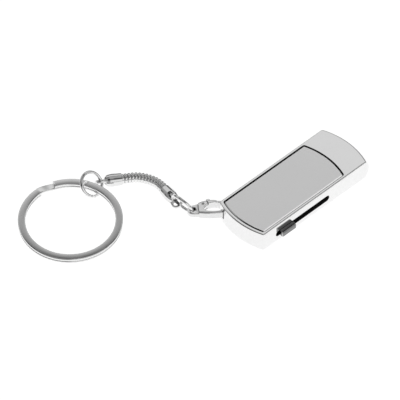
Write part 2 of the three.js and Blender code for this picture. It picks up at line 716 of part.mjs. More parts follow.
const clasp = new THREE.Group();
clasp.position.copy(POST);
clasp.rotation.z = radians(CLASP_ANGLE);
keychain.add(clasp);
const MIRROR = new THREE.Matrix4().makeRotationX(Math.PI);
place(clasp, 'clasp_body', claspBody().applyMatrix4(MIRROR), CHROME);
place(clasp, 'clasp_trigger', claspTrigger().applyMatrix4(MIRROR), CHROME);
const rivetHalf = CLASP_THICKNESS / 2 - 2 * FIT;
const rivet = peg(...TRIGGER_PIVOT, RIVET_RADIUS, -rivetHalf, rivetHalf, 14);
place(clasp, 'clasp_rivet', rivet.applyMatrix4(MIRROR), STEEL);
place(clasp, 'clasp_spring', claspSpring().applyMatrix4(MIRROR), STEEL);

// ---------------------------------------------------------------- link ring

const CHAIN_HEIGHT = FERRULE_RADIUS + FLOOR_GAP;

// The point of a leaning ring at the given height, on its near (-1) or far (+1) side.
function ringPoint(centre, level, rise, radius, height, side) {
  const up = (height - centre.z) / (radius * rise.z);
  const along = side * Math.sqrt(1 - up ** 2);
  return centre.clone().addScaledVector(level, radius * along).addScaledVector(rise, radius * up);
}

function orient(mesh, centre, level, rise) {
  mesh.applyMatrix4(new THREE.Matrix4().makeBasis(level, rise, level.clone().cross(rise)));
  mesh.position.copy(centre);
  return mesh;
}

const linkLevel = heading(LINK_HEADING);
const linkRise = AXIS_Z.clone().applyAxisAngle(linkLevel, radians(-LINK_LEAN));
const linkCentre = new THREE.Vector3(0, 0, FLOOR_GAP + WIRE + LINK_RADIUS * linkRise.z);
const claspEye = POST.clone().addScaledVector(heading(CLASP_ANGLE), CLASP_REACH);
const nearCrossing = ringPoint(linkCentre, linkLevel, linkRise, LINK_RADIUS, POST.z, -1);
linkCentre.add(claspEye).sub(nearCrossing);
const linkRing = place(keychain, 'link_ring', new THREE.TorusGeometry(LINK_RADIUS, WIRE, 8, 48), CHROME);
orient(linkRing, linkCentre, linkLevel, linkRise);

// ---------------------------------------------------------------- ferrules and snake chain

// Drawn with the eye at the origin and the mouth along +X.
function ferrule() {
  const mouth = FERRULE_LENGTH;
  const root = 2.6;
  const profile = [
    [0, 0.7], [1.1, 0.85], [1.65, 1.5], [FERRULE_RADIUS - 0.08, 2.4], [FERRULE_RADIUS, 3.4],
    [FERRULE_RADIUS - 0.15, mouth - 0.15], [FERRULE_RADIUS - 0.3, mouth], [0, mouth],
  ].map(([radius, along]) => new THREE.Vector2(radius, along));
  const barrel = new THREE.LatheGeometry(profile, 20).rotateZ(-Math.PI / 2);
  const tongue = extrude([
    ...arc(0, 0, EYE_RADIUS, 60, 300, 12),
    new THREE.Vector2(root, -EYE_RADIUS + 0.1),
    new THREE.Vector2(root, EYE_RADIUS - 0.1),
  ], -EYE_THICKNESS / 2, EYE_THICKNESS / 2, EYE_ROUND, 2);
  const bore = CHAIN_RADIUS + SOCKET_CLEARANCE;
  const socket = new THREE.CylinderGeometry(bore, bore, FERRULE_SOCKET + 1, 20);
  socket.rotateZ(-Math.PI / 2).translate(mouth + (1 - FERRULE_SOCKET) / 2, 0, 0);
  return cut(join(barrel, tongue), peg(0, 0, EYE_HOLE, -2, 2, 20), socket);
}

function layFerrule(name, eye, towardsMouth, roll) {
  const up = AXIS_Z.clone().applyAxisAngle(towardsMouth, radians(-roll));
  const mesh = place(keychain, name, ferrule(), CHROME);
  mesh.applyMatrix4(new THREE.Matrix4().makeBasis(towardsMouth, up.clone().cross(towardsMouth), up));
  mesh.position.copy(eye);
}

const nearEye = ringPoint(linkCentre, linkLevel, linkRise, LINK_RADIUS, CHAIN_HEIGHT, 1);
const nearAxis = heading(NEAR_HEADING);
const nearMouth = nearEye.clone().addScaledVector(nearAxis, FERRULE_LENGTH);
layFerrule('ferrule_near', nearEye, nearAxis, NEAR_ROLL);

const farAxis = heading(FAR_HEADING);
const farMouth = nearMouth.clone().add(new THREE.Vector3(...FAR_MOUTH, 0));
const farEye = farMouth.clone().addScaledVector(farAxis, -FERRULE_LENGTH);
layFerrule('ferrule_far', farEye, farAxis, FAR_ROLL);

const SOCKET_DEPTH_USED = FERRULE_SOCKET - SOCKET_SPARE;
const chainRoute = new THREE.CatmullRomCurve3([
  nearMouth.clone().addScaledVector(nearAxis, -SOCKET_DEPTH_USED),
  nearMouth.clone(),
  ...CHAIN_ROUTE.map(([x, y]) => nearMouth.clone().add(new THREE.Vector3(x, y, 0))),
  farMouth.clone(),
  farMouth.clone().addScaledVector(farAxis, -SOCKET_DEPTH_USED),
]);

function chainLength(from, to) {
  const points = Array.from({ length: 13 }, (_, i) => chainRoute.getPointAt(from + ((to - from) * i) / 12));
  return new THREE.ExtrudeGeometry(new THREE.Shape(circle(0, 0, CHAIN_RADIUS, 10)), {
    steps: 14,
    extrudePath: new THREE.CatmullRomCurve3(points),
  });
}

const flexShare = CHAIN_FLEX_GAP / 2 / chainRoute.getLength();
place(keychain, 'snake_chain_near', chainLength(0, 0.5 - flexShare), CHROME);
place(keychain, 'snake_chain_far', chainLength(0.5 + flexShare, 1), CHROME);

// ---------------------------------------------------------------- jump ring

const jumpLevel = heading(JUMP_HEADING);
const jumpRise = AXIS_Y.clone().applyAxisAngle(AXIS_Z, radians(JUMP_HEADING))
  .applyAxisAngle(jumpLevel, radians(JUMP_SLOPE));
const jumpCentre = new THREE.Vector3(0, 0, FLOOR_GAP + WIRE + JUMP_RADIUS * jumpRise.z);
const jumpCrossing = ringPoint(jumpCentre, jumpLevel, jumpRise, JUMP_RADIUS, CHAIN_HEIGHT, 1);
jumpCentre.add(farEye).sub(jumpCrossing);

// A straight bar bent into a ring: what was its length becomes the angle round the ring.
function bend(bar, radius, angleAt, heightAt) {
  const at = bar.attributes.position;
  for (let i = 0; i < at.count; i += 1) {
    const angle = radians(angleAt(at.getZ(i)));
    const reach = radius + at.getX(i);
    at.setXYZ(i, reach * Math.cos(angle), reach * Math.sin(angle), at.getY(i) + heightAt(at.getZ(i)));
  }
  return bar;
}

function bar(section, steps) {
  return new THREE.ExtrudeGeometry(new THREE.Shape(section), { depth: 1, steps, bevelEnabled: false });
}

// The bend turns the bar's section over, so it is drawn clockwise.
const JUMP_SLIT_AT = 235;
const jumpGeometry = bend(
  bar(circle(0, 0, WIRE, 8), 44),
  JUMP_RADIUS,
  (t) => JUMP_SLIT_AT + JUMP_SLIT / 2 + (360 - JUMP_SLIT) * (1 - t),
  () => 0,
);
orient(place(keychain, 'jump_ring', jumpGeometry, CHROME), jumpCentre, jumpLevel, jumpRise);

// ---------------------------------------------------------------- split ring

const SPLIT_THICKNESS = 2 * SPLIT_COIL + SPLIT_COIL_GAP;
const splitMiddle = SPLIT_OUTER - SPLIT_BAND / 2;
const jumpLow = jumpCentre.clone().addScaledVector(jumpRise, -JUMP_RADIUS);
const splitHeading = heading(SPLIT_HEADING);
const liftedSide = heading(SPLIT_TILT_HEADING);
const splitTilt = Math.asin(SPLIT_LIFT / (2 * SPLIT_OUTER));
const splitReach = SPLIT_OUTER - SPLIT_BAND + JUMP_UNDER_BAND;
const splitCentre = jumpLow.clone().addScaledVector(splitHeading, -splitReach);
splitCentre.z = FLOOR_GAP + (SPLIT_LIFT + SPLIT_THICKNESS) / 2;

function splitRing() {
  const sweep = 720 - SPLIT_JOG_SPAN;
  const step = SPLIT_COIL + SPLIT_COIL_GAP;
  const turned = (t) => sweep * (1 - t);
  const rise = (t) => {
    const along = (turned(t) - (360 - SPLIT_JOG_SPAN)) / SPLIT_JOG_SPAN;
    return step * (THREE.MathUtils.smoothstep(along, 0, 1) - 0.5);
  };
  return bend(
    bar(roundedBox(SPLIT_BAND, SPLIT_COIL, 0.2, 1), 120),
    splitMiddle,
    (t) => SPLIT_JOG_START + SPLIT_JOG_SPAN + turned(t),
    rise,
  );
}

const splitRise = AXIS_Z.clone().cross(liftedSide);
const splitLevel = liftedSide.clone().applyAxisAngle(splitRise, -splitTilt);
orient(place(keychain, 'split_ring', splitRing(), CHROME), splitCentre, splitLevel, splitRise);

export default assembly;
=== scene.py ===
# %% [markdown]
# # A slide-out USB flash drive on a snake-chain keychain
# The real object is a pressed and plated metal drive whose plug slides out of its right end, pushed by
# a dark knob in a slot. A lobster clasp grips its pierced corner, and a link ring, a snake chain, a
# jump ring and a split ring follow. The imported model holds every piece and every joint, so this script
# only adds the looks: finer shapes, real finishes, a floor, soft light and a camera.

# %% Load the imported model
import json
import math

import bmesh
import bpy
import numpy as np
from mathutils import Matrix, Vector


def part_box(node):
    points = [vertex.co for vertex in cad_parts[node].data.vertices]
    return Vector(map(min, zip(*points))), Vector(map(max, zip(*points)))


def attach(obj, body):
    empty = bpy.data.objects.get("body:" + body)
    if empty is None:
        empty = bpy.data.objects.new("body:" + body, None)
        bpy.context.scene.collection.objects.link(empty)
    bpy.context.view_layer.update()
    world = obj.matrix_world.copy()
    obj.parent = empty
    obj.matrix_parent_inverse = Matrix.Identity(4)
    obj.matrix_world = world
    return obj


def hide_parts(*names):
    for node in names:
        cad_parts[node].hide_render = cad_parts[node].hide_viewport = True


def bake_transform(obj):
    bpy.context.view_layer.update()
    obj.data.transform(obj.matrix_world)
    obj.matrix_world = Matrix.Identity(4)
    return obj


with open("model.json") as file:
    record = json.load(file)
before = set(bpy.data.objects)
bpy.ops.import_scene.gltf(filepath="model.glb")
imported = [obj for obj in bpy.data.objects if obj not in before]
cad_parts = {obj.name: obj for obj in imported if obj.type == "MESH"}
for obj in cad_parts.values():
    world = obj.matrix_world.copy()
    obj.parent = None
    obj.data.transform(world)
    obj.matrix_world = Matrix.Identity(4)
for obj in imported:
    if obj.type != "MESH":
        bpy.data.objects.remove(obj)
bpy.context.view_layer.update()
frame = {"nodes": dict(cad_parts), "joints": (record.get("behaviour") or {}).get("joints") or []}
MM = 0.001

# %% [markdown]
# ## The camera
# The drive is seen from its front left corner, from above, with a long lens so that parallel edges stay
# nearly parallel. It is made first, because everything else is judged through it. The lens follows from
# the distance and from the width that should fill the picture.

# %% Camera
AZIMUTH = math.radians(-43.9)
ELEVATION = math.radians(47.0)
DISTANCE = 1.5
VIEW_WIDTH = 0.1143
LOOK_AT = Vector((-0.0198, 0.0177, 0.0))
SENSOR = 36.0

back = Vector((
    math.sin(AZIMUTH) * math.cos(ELEVATION),
    -math.cos(AZIMUTH) * math.cos(ELEVATION),
    math.sin(ELEVATION),
))
camera_data = bpy.data.cameras.new("camera")
camera_data.sensor_width = SENSOR
camera_data.lens = SENSOR * DISTANCE / VIEW_WIDTH
camera = bpy.data.objects.new("camera", camera_data)
bpy.context.scene.collection.objects.link(camera)
camera.location = LOOK_AT + back * DISTANCE
camera.rotation_euler = (-back).to_track_quat("-Z", "Y").to_euler()
bpy.context.scene.camera = camera
print("lens, mm:", round(camera_data.lens))

# %% [markdown]
# ## Node maths as Python
# A material is a graph of nodes. Written out node by node it is long and hard to read, so a small class
# wraps an output socket and gives it the usual operators: `1 - mask` then adds its Math node by itself.
# Every other node comes from `add`, which takes the node's type, its settings and the values or links
# of its sockets.

# %% The graph helper
class Wire:
    """A node's output that can stand in a Python expression."""

    def __init__(self, graph, socket):
        self.graph = graph
        self.socket = socket

    def math(self, operation, *values):
        return self.graph.math(operation, self, *values)

    def __add__(self, other):
        return self.math("ADD", other)

    def __sub__(self, other):
        return self.math("SUBTRACT", other)

    def __mul__(self, other):
        return self.math("MULTIPLY", other)

    def __truediv__(self, other):
        return self.math("DIVIDE", other)

    def __pow__(self, other):
        return self.math("POWER", other)

    def __rsub__(self, other):
        return self.graph.math("SUBTRACT", other, self)

    __radd__ = __add__


class Graph:
    """Adds nodes to one tree."""

    def __init__(self, tree):
        self.tree = tree

    def add(self, kind, settings=None, inputs=None, out=0):
        node = self.tree.nodes.new(kind)
        for name, value in (settings or {}).items():
            setattr(node, name, value)
        for key, value in (inputs or {}).items():
            if isinstance(value, Wire):
                self.tree.links.new(value.socket, node.inputs[key])
            else:
                node.inputs[key].default_value = value
        return Wire(self, node.outputs[out]) if node.outputs else None

    def math(self, operation, *values):
        return self.add("ShaderNodeMath", {"operation": operation}, dict(enumerate(values)))

    def vector(self, operation, *values, out=0):
        return self.add("ShaderNodeVectorMath", {"operation": operation}, dict(enumerate(values)), out)

    def mix(self, share, first, second):
        """Blends two colours."""
        return self.add("ShaderNodeMix", {"data_type": "RGBA"}, {0: share, 6: first, 7: second}, out=2)

    def step(self, value, low, high):
        """0 below low, 1 above high, and a smooth rise between them."""
        inputs = {"Value": value, "From Min": low, "From Max": high}
        return self.add("ShaderNodeMapRange", {"interpolation_type": "SMOOTHSTEP"}, inputs)

    def axes(self, vector):
        node = self.tree.nodes.new("ShaderNodeSeparateXYZ")
        self.tree.links.new(vector.socket, node.inputs[0])
        return [Wire(self, output) for output in node.outputs]


def grey(value, warmth=0.0):
    """A neutral colour, a touch warmer or cooler."""
    return (value * (1 + warmth), value, value * (1 - warmth), 1.0)


# %% [markdown]
# ## Light, surroundings and floor
# Polished metal has no colour of its own: it shows its surroundings. The studio here is a pale table in
# a grey room, with a light wall beyond the object, a large white softbox in front of it and a skylight
# overhead. A dark band runs round the room between the skylight and the wall. The drive's walls then
# mirror the table, its top mirrors the light wall, and every rounded edge picks up a thin dark line
# from the band. All of it is a function of direction in the world's own nodes, and each pair of values
# below is where one lamp or wall starts to fade in or out, and where it ends.

# %% The surroundings
DARK_BAND = 0.04
SKYLIGHT = 0.50
WALL_HEADING = Vector((0.69, 0.72, 0.0)).normalized()
WALL_HIGH, WALL_LOW = 0.90, 0.14
BOX_LIGHT = 1.10
ROOM_LIGHT = 0.40
FLOOR_LIGHT = 0.45
BACKDROP = 1.0
WALL_TURN, WALL_RISE, WALL_TOP = (0.0, 0.7), (0.35, 0.66), (0.77, 0.84)
BOX_LEFT, BOX_RIGHT, BOX_FRONT = (-0.74, -0.62), (0.66, 0.76), (-0.2, -0.1)
BOX_FOOT, BOX_TOP = (0.16, 0.24), (0.70, 0.80)
ROOM_FOOT, ROOM_TOP = (0.06, 0.2), (0.58, 0.7)
FLOOR_EDGE, SKY_EDGE = (-0.02, 0.05), (0.88, 0.95)

world = bpy.data.worlds.new("studio")
world.use_nodes = True
bpy.context.scene.world = world
world.node_tree.nodes.clear()
studio = Graph(world.node_tree)
direction = studio.add("ShaderNodeTexCoord", out="Generated")
height = studio.axes(direction)[2]
level = studio.vector("NORMALIZE", studio.vector("MULTIPLY", direction, (1.0, 1.0, 0.0)))
across, ahead_of_front = studio.axes(level)[:2]
towards_wall = studio.vector("DOT_PRODUCT", level, WALL_HEADING, out="Value")
wall = studio.step(towards_wall, *WALL_TURN) * (1 - studio.step(height, *WALL_TOP))
wall_light = WALL_LOW + studio.step(height, *WALL_RISE) * (WALL_HIGH - WALL_LOW)
box_sides = studio.step(across, *BOX_LEFT) * (1 - studio.step(across, *BOX_RIGHT))
box_levels = studio.step(height, *BOX_FOOT) * (1 - studio.step(height, *BOX_TOP))
box = box_sides * box_levels * (1 - studio.step(ahead_of_front, *BOX_FRONT))
low = 1 - studio.step(height, *FLOOR_EDGE)
room_levels = studio.step(height, *ROOM_FOOT) * (1 - studio.step(height, *ROOM_TOP))
room = room_levels * (1 - wall) * (1 - box)
skylight = studio.step(height, *SKY_EDGE)
lamps = box * BOX_LIGHT + skylight * SKYLIGHT
radiance = DARK_BAND + wall * wall_light + lamps + room * ROOM_LIGHT + low * FLOOR_LIGHT
seen = studio.add("ShaderNodeLightPath", out="Is Camera Ray")
shown = seen * BACKDROP + (1 - seen) * radiance
light = studio.add("ShaderNodeBackground", inputs={"Strength": shown})
studio.add("ShaderNodeOutputWorld", inputs={"Surface": light})
bpy.context.scene.view_settings.view_transform = "Standard"
print("dark band, wall and softbox:", DARK_BAND, WALL_HIGH, BOX_LIGHT)

# %% [markdown]
# The table is one plain pale plane just under the object. It gives off most of its own brightness, as
# an evenly lit white sweep does, so that the object's soft shadow stays faint.

# %% The floor
FLOOR_SIZE = 6.0
FLOOR_GLOW = 0.87
FLOOR_PALE = 0.5


def floor_finish():
    material = bpy.data.materials.new("white_table")
    material.use_nodes = True
    material.node_tree.nodes.clear()
    graph = Graph(material.node_tree)
    place = graph.add("ShaderNodeTexCoord", out="Object")
    cloud = graph.add("ShaderNodeTexNoise", inputs={"Vector": place, "Scale": 3.0, "Detail": 1.0})
    tone = graph.mix(cloud, grey(FLOOR_PALE), grey(FLOOR_PALE * 0.98))
    paper = graph.add("ShaderNodeBsdfDiffuse", inputs={"Color": tone})
    glow = graph.add("ShaderNodeEmission", inputs={"Strength": FLOOR_GLOW})
    both = graph.add("ShaderNodeAddShader", inputs={0: paper, 1: glow})
    graph.add("ShaderNodeOutputMaterial", inputs={"Surface": both})
    return material


half = FLOOR_SIZE / 2
floor_mesh = bpy.data.meshes.new("table")
corners = [(-half, -half, 0), (half, -half, 0), (half, half, 0), (-half, half, 0)]
floor_mesh.from_pydata(corners, [], [(0, 1, 2, 3)])
floor_mesh.materials.append(floor_finish())
floor = bpy.data.objects.new("table", floor_mesh)
bpy.context.scene.collection.objects.link(floor)
print("floor, m:", FLOOR_SIZE)

# %% [markdown]
# ## Finishes
# Every finish is procedural and reads Object coordinates, in metres, so it stays on the piece in any
# view. Bright plating is a near mirror: a little noise in its roughness stands for handling marks, fine
# stretched noise for polishing lines, and a very faint bump keeps its reflections from being perfectly
# straight. Castings also get painted shade in their recesses: an Ambient Occlusion node finds them
# from the piece's own shape and darkens the colour there.

# %% Metal finishes
def surface_of(name, metallic=1.0):
    """A material with one Principled shader, and the graph to add its patterns with."""
    material = bpy.data.materials.new(name)
    material.use_nodes = True
    graph = Graph(material.node_tree)
    shader = material.node_tree.nodes["Principled BSDF"]
    shader.inputs["Metallic"].default_value = metallic
    return material, graph, shader


def connect(graph, shader, **patterns):
    for socket, wire in patterns.items():
        graph.tree.links.new(wire.socket, shader.inputs[socket.replace("_", " ")])


def noise(graph, place, size_mm, detail=2.0, roughness=0.5):
    """Noise whose patches are about size_mm across."""
    scale = 1.0 / (size_mm * MM)
    inputs = {"Vector": place, "Scale": scale, "Detail": detail, "Roughness": roughness}
    return graph.add("ShaderNodeTexNoise", inputs=inputs)


MARKS_MM = 3.5
# Painted shade: the grey, fade and samples with which recesses are darkened in the colour.
PAINTED_SHADE_GREY = 0.10
PAINTED_SHADE_FADE = (0.45, 0.98)
PAINTED_SHADE_SAMPLES = 12


def plated(name, bright, dull, roughness, wear, grain_mm, stretch=1.0, relief=0.01, painted_shade_mm=0.0):
    """Bright plating of two greys. Wear spreads its roughness, and recesses this narrow get painted shade.

    A stretch below 1 draws the grain out into polishing lines along X.
    """
    material, graph, shader = surface_of(name)
    place = graph.add("ShaderNodeTexCoord", out="Object")
    stretched = graph.vector("MULTIPLY", place, (stretch, 1.0, 1.0))
    marks = noise(graph, place, MARKS_MM, 3.0)
    grain = noise(graph, stretched, grain_mm, 4.0, 0.6)
    rubbed = graph.step(marks, 0.45, 0.75)
    tone = graph.mix(marks * 0.6 + grain * 0.4, bright, dull)
    # Painted shade: an Ambient Occlusion node darkens the colour where nearby surfaces close in.
    if painted_shade_mm:
        settings = {"samples": PAINTED_SHADE_SAMPLES, "only_local": True}
        unshaded = graph.add("ShaderNodeAmbientOcclusion", settings, {"Distance": painted_shade_mm * MM}, out="AO")
        tone = graph.mix(graph.step(unshaded, *PAINTED_SHADE_FADE), grey(PAINTED_SHADE_GREY), tone)
    bump = graph.add("ShaderNodeBump", inputs={"Strength": 0.4, "Distance": relief * MM, "Height": grain})
    spread = roughness + rubbed * wear + grain * (wear * 0.4)
    connect(graph, shader, Base_Color=tone, Roughness=spread, Normal=bump)
    return material


body_chrome = plated(
    "body_chrome", grey(0.88), grey(0.83), roughness=0.03, wear=0.05, grain_mm=0.5,
    stretch=0.12, relief=0.0015,
)
wire_chrome = plated(
    "wire_chrome", grey(0.87), grey(0.78), roughness=0.04, wear=0.07, grain_mm=0.4, relief=0.003,
)
# The castings get painted shade in their recesses.
cast_chrome = plated(
    "cast_chrome", grey(0.84), grey(0.72), roughness=0.05, wear=0.09, grain_mm=0.35, relief=0.006,
    painted_shade_mm=2.5,
)
dark_chrome = plated(
    "dark_chrome", grey(0.28, -0.01), grey(0.20), roughness=0.10, wear=0.08, grain_mm=0.3,
    stretch=0.1, relief=0.003,
)
spring_steel = plated(
    "spring_steel", grey(0.58), grey(0.46, 0.01), roughness=0.22, wear=0.15, grain_mm=0.25, stretch=0.2,
)
plug_steel = plated(
    "plug_steel", grey(0.74), grey(0.66, 0.01), roughness=0.16, wear=0.12, grain_mm=0.2,
    stretch=0.15, relief=0.006,
)
contact_gold = plated(
    "contact_gold", (0.86, 0.62, 0.26, 1), (0.74, 0.50, 0.20, 1), roughness=0.18, wear=0.12, grain_mm=0.25,
    stretch=0.15, relief=0.004,
)
print("metal finishes:", len(bpy.data.materials))

# %% [markdown]
# The top panel is a separate sheet of satin aluminium. Fine blasting gives it a matt, even grey with a
# grain far smaller than a millimetre, which scatters what it reflects.

# %% Satin panel finish
def satin_finish():
    material, graph, shader = surface_of("satin_panel")
    place = graph.add("ShaderNodeTexCoord", out="Object")
    blast = noise(graph, place, 0.16, 3.0, 0.7)
    brushed = noise(graph, graph.vector("MULTIPLY", place, (0.2, 1.0, 1.0)), 0.22, 3.0, 0.6)
    cloud = noise(graph, place, 9.0, 1.0)
    grain = blast * 0.75 + brushed * 0.25
    tone = graph.mix(graph.step(grain, 0.3, 0.7) * 0.7 + cloud * 0.3, grey(0.98), grey(0.90))
    bump = graph.add("ShaderNodeBump", inputs={"Strength": 0.25, "Distance": 0.008 * MM, "Height": grain})
    connect(graph, shader, Base_Color=tone, Roughness=0.26 + grain * 0.10, Normal=bump)
    return material


satin_panel = satin_finish()
print("satin finish ready")

# %% [markdown]
# Inside the drive are moulded plastic, a printed circuit board with its parts, and a film of adhesive.
# They show when the plug is out or when the pieces are lifted apart, so they get real finishes too.

# %% Plastic, board and adhesive finishes
def moulded_finish(name, colour, fleck, roughness, grain_mm):
    """Plastic with a fine moulded grain."""
    material, graph, shader = surface_of(name, metallic=0.0)
    place = graph.add("ShaderNodeTexCoord", out="Object")
    grain = noise(graph, place, grain_mm, 4.0, 0.6)
    cloud = noise(graph, place, 4.0)
    tone = graph.mix(grain * 0.7 + cloud * 0.3, colour, fleck)
    bump = graph.add("ShaderNodeBump", inputs={"Strength": 0.5, "Distance": 0.02 * MM, "Height": grain})
    connect(graph, shader, Base_Color=tone, Roughness=roughness + cloud * 0.12, Normal=bump)
    return material


TRACK_PITCH, PAD_PITCH = 1.4, 1.1


def board_finish():
    """Green solder mask over fine copper tracks, with bare gold pads."""
    material, graph, shader = surface_of("board_green", metallic=0.0)
    place = graph.add("ShaderNodeTexCoord", out="Object")
    tracks = graph.add("ShaderNodeTexBrick", inputs={
        "Vector": place, "Scale": 1 / (TRACK_PITCH * MM), "Mortar Size": 0.12, "Mortar Smooth": 0.2,
        "Brick Width": 1.4, "Row Height": 0.35,
    }, out="Fac")
    dot_inputs = {"Vector": place, "Scale": 1 / (PAD_PITCH * MM)}
    dots = graph.add("ShaderNodeTexVoronoi", inputs=dot_inputs, out="Distance")
    pads = 1 - graph.step(dots, 0.12, 0.16)
    mask = graph.mix(tracks, (0.012, 0.13, 0.05, 1), (0.03, 0.24, 0.09, 1))
    tone = graph.mix(pads, mask, (0.72, 0.52, 0.22, 1))
    grain = noise(graph, place, 0.3)
    relief = tracks + grain * 0.2
    bump = graph.add("ShaderNodeBump", inputs={"Strength": 0.5, "Distance": 0.03 * MM, "Height": relief})
    connect(graph, shader, Base_Color=tone, Roughness=0.3 + grain * 0.15, Metallic=pads, Normal=bump)
    return material


TINNED = 0.22


def capacitor_finish(name, node):
    """A tan ceramic middle between two tinned ends. The ends' places come from the node's own box."""
    low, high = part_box(node)
    end = (high.x - low.x) * TINNED
    material, graph, shader = surface_of(name, metallic=0.0)
    place = graph.add("ShaderNodeTexCoord", out="Object")
    along = graph.axes(place)[0]
    tin = 1 - graph.step(along, low.x + end * 0.9, low.x + end * 1.1)
    tin = tin + graph.step(along, high.x - end * 1.1, high.x - end * 0.9)
    grain = noise(graph, place, 0.12, 3.0)
    ceramic = graph.mix(grain, (0.36, 0.22, 0.11, 1), (0.48, 0.32, 0.18, 1))
    tone = graph.mix(tin, ceramic, grey(0.62))
    connect(graph, shader, Base_Color=tone, Roughness=0.35 + grain * 0.15, Metallic=tin)
    return material


black_plastic = moulded_finish("black_plastic", grey(0.012), grey(0.028), 0.34, 0.15)
chip_epoxy = moulded_finish("chip_epoxy", grey(0.016), grey(0.04), 0.48, 0.08)
adhesive_film = moulded_finish("adhesive_film", (0.55, 0.50, 0.40, 1), (0.68, 0.64, 0.54, 1), 0.6, 0.6)
board_green = board_finish()
print("all finishes:", len(bpy.data.materials))

# %% [markdown]
# ## Making solids
# Most of the drive's pieces are prisms with an outline in plan and rounded edges. A loft through a
# stack of outlines makes them: where the outlines shrink over a quarter circle, the edge is rounded. A
# Boolean then carves pockets and slots, and weighted normals keep flat faces flat beside the rounded
# ones.

# %% Outlines and lofts
def arc(x, y, radius, start, end, steps):
    """Points along an arc in plan, in millimetres and degrees, both ends included."""
    turns = [math.radians(start + (end - start) * i / steps) for i in range(steps + 1)]
    return [(x + radius * math.cos(a), y + radius * math.sin(a)) for a in turns]


def object_of(name, points, faces):
    """A mesh object from points in millimetres."""
    mesh = bpy.data.meshes.new(name)
    mesh.from_pydata([Vector(p) * MM for p in points], [], faces)
    mesh.update()
    made = bpy.data.objects.new(name, mesh)
    bpy.context.scene.collection.objects.link(made)
    return made


def loft(name, rings, closed=False):
    """A skin through rings of equal length. It closes on itself, or flat faces cap its two ends."""
    count = len(rings[0])
    pairs = range(len(rings) if closed else len(rings) - 1)
    faces = []
    for r in pairs:
        this, next_ring = r * count, (r + 1) % len(rings) * count
        for i in range(count):
            j = (i + 1) % count
            faces.append((this + i, this + j, next_ring + j, next_ring + i))
    if not closed:
        last = (len(rings) - 1) * count
        faces.append(tuple(reversed(range(count))))
        faces.append(tuple(range(last, last + count)))
    return object_of(name, [p for ring in rings for p in ring], faces)


def quarter(radius, steps=5):
    """(inset, drop) pairs over a rounded edge, from the side wall to the flat face."""
    turns = [math.radians(90 * i / steps) for i in range(steps + 1)]
    return [(radius * (1 - math.cos(a)), radius * (1 - math.sin(a))) for a in turns]


def prism(name, outline, bottom, top, foot=0.0, brow=0.0):
    """outline(inset) gives the plan; foot and brow are the radii of the lower and the upper edge."""
    levels = [(inset, bottom + drop) for inset, drop in reversed(quarter(foot))] if foot else [(0, bottom)]
    levels += [(inset, top - drop) for inset, drop in quarter(brow)] if brow else [(0, top)]
    return loft(name, [[(x, y, z) for x, y in outline(inset)] for inset, z in levels])


def peg(name, x, y, radius, bottom, top, steps=48):
    """A round bar that stands on its end."""
    last = 360 - 360 / steps
    return prism(name, lambda inset: arc(x, y, radius - inset, 0, last, steps - 1), bottom, top)


print("rounded edge:", [tuple(round(v, 2) for v in pair) for pair in quarter(0.3)])

# %% [markdown]
# Each Boolean is applied as soon as it is added, so that its tool can be removed and a later step meets
# plain mesh. Handing a piece over gives it its finish and its body and hides the model's nodes that it
# stands for.

# %% Booleans and finishing touches
def settle(piece):
    """Replaces the piece's mesh by what its modifiers make of it."""
    bpy.context.view_layer.update()
    graph = bpy.context.evaluated_depsgraph_get()
    mesh = bpy.data.meshes.new_from_object(piece.evaluated_get(graph))
    piece.modifiers.clear()
    piece.data = mesh
    return piece


def combine(piece, operation, *tools):
    """Adds or carves away the tools, which are then removed."""
    for tool in tools:
        step = piece.modifiers.new("shape", "BOOLEAN")
        step.operation = operation
        step.solver = "EXACT"
        step.object = tool
        settle(piece)
        bpy.data.objects.remove(tool)
    return piece


def smooth_shade(piece, crease=35.0):
    """Smooth shading that stops at creases, with flat faces kept flat."""
    shape = bmesh.new()
    shape.from_mesh(piece.data)
    limit = math.radians(crease)
    for face in shape.faces:
        face.smooth = True
    for edge in shape.edges:
        edge.smooth = len(edge.link_faces) == 2 and edge.calc_face_angle(0) < limit
    shape.to_mesh(piece.data)
    shape.free()
    weighted = piece.modifiers.new("flat faces", "WEIGHTED_NORMAL")
    weighted.keep_sharp = True
    return settle(piece)


def hand_over(piece, body, finish, slot, *nodes):
    """Gives the piece its finish and its body, and hides the nodes it stands for. The slot is not used."""
    piece.data.materials.clear()
    piece.data.materials.append(finish)
    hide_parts(*nodes)
    if body:
        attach(piece, body)
    triangles = sum(len(p.vertices) - 2 for p in piece.data.polygons)
    print(f"{piece.name}: {triangles} triangles")


print("helpers ready")

# %% [markdown]
# ## The drive body
# The real body is one deep-drawn metal shell with slightly bowed ends, tight rounded edges, a shallow
# pocket for the top panel, a slot for the slider, a mouth for the plug, and one corner pierced by a
# tunnel that the clasp hooks through. It is lofted from its bowed outline and carved in the order a
# press would do it.

# %% Bowed outlines
BODY_CHORD, BODY_WIDTH, BODY_HEIGHT = 40.9, 18.1, 6.6
END_RADIUS, CORNER_RADIUS, EDGE_ROUND = 22.9, 0.7, 0.36
WALL, ROOF, BASE_THICKNESS = 0.85, 0.9, 0.85
LEFT_CHORD, RIGHT_CHORD = -BODY_CHORD / 2, BODY_CHORD / 2
HALF_WIDTH = BODY_WIDTH / 2
CAVITY_TOP = BODY_HEIGHT - ROOF
LEAST_ROUNDING = 0.2


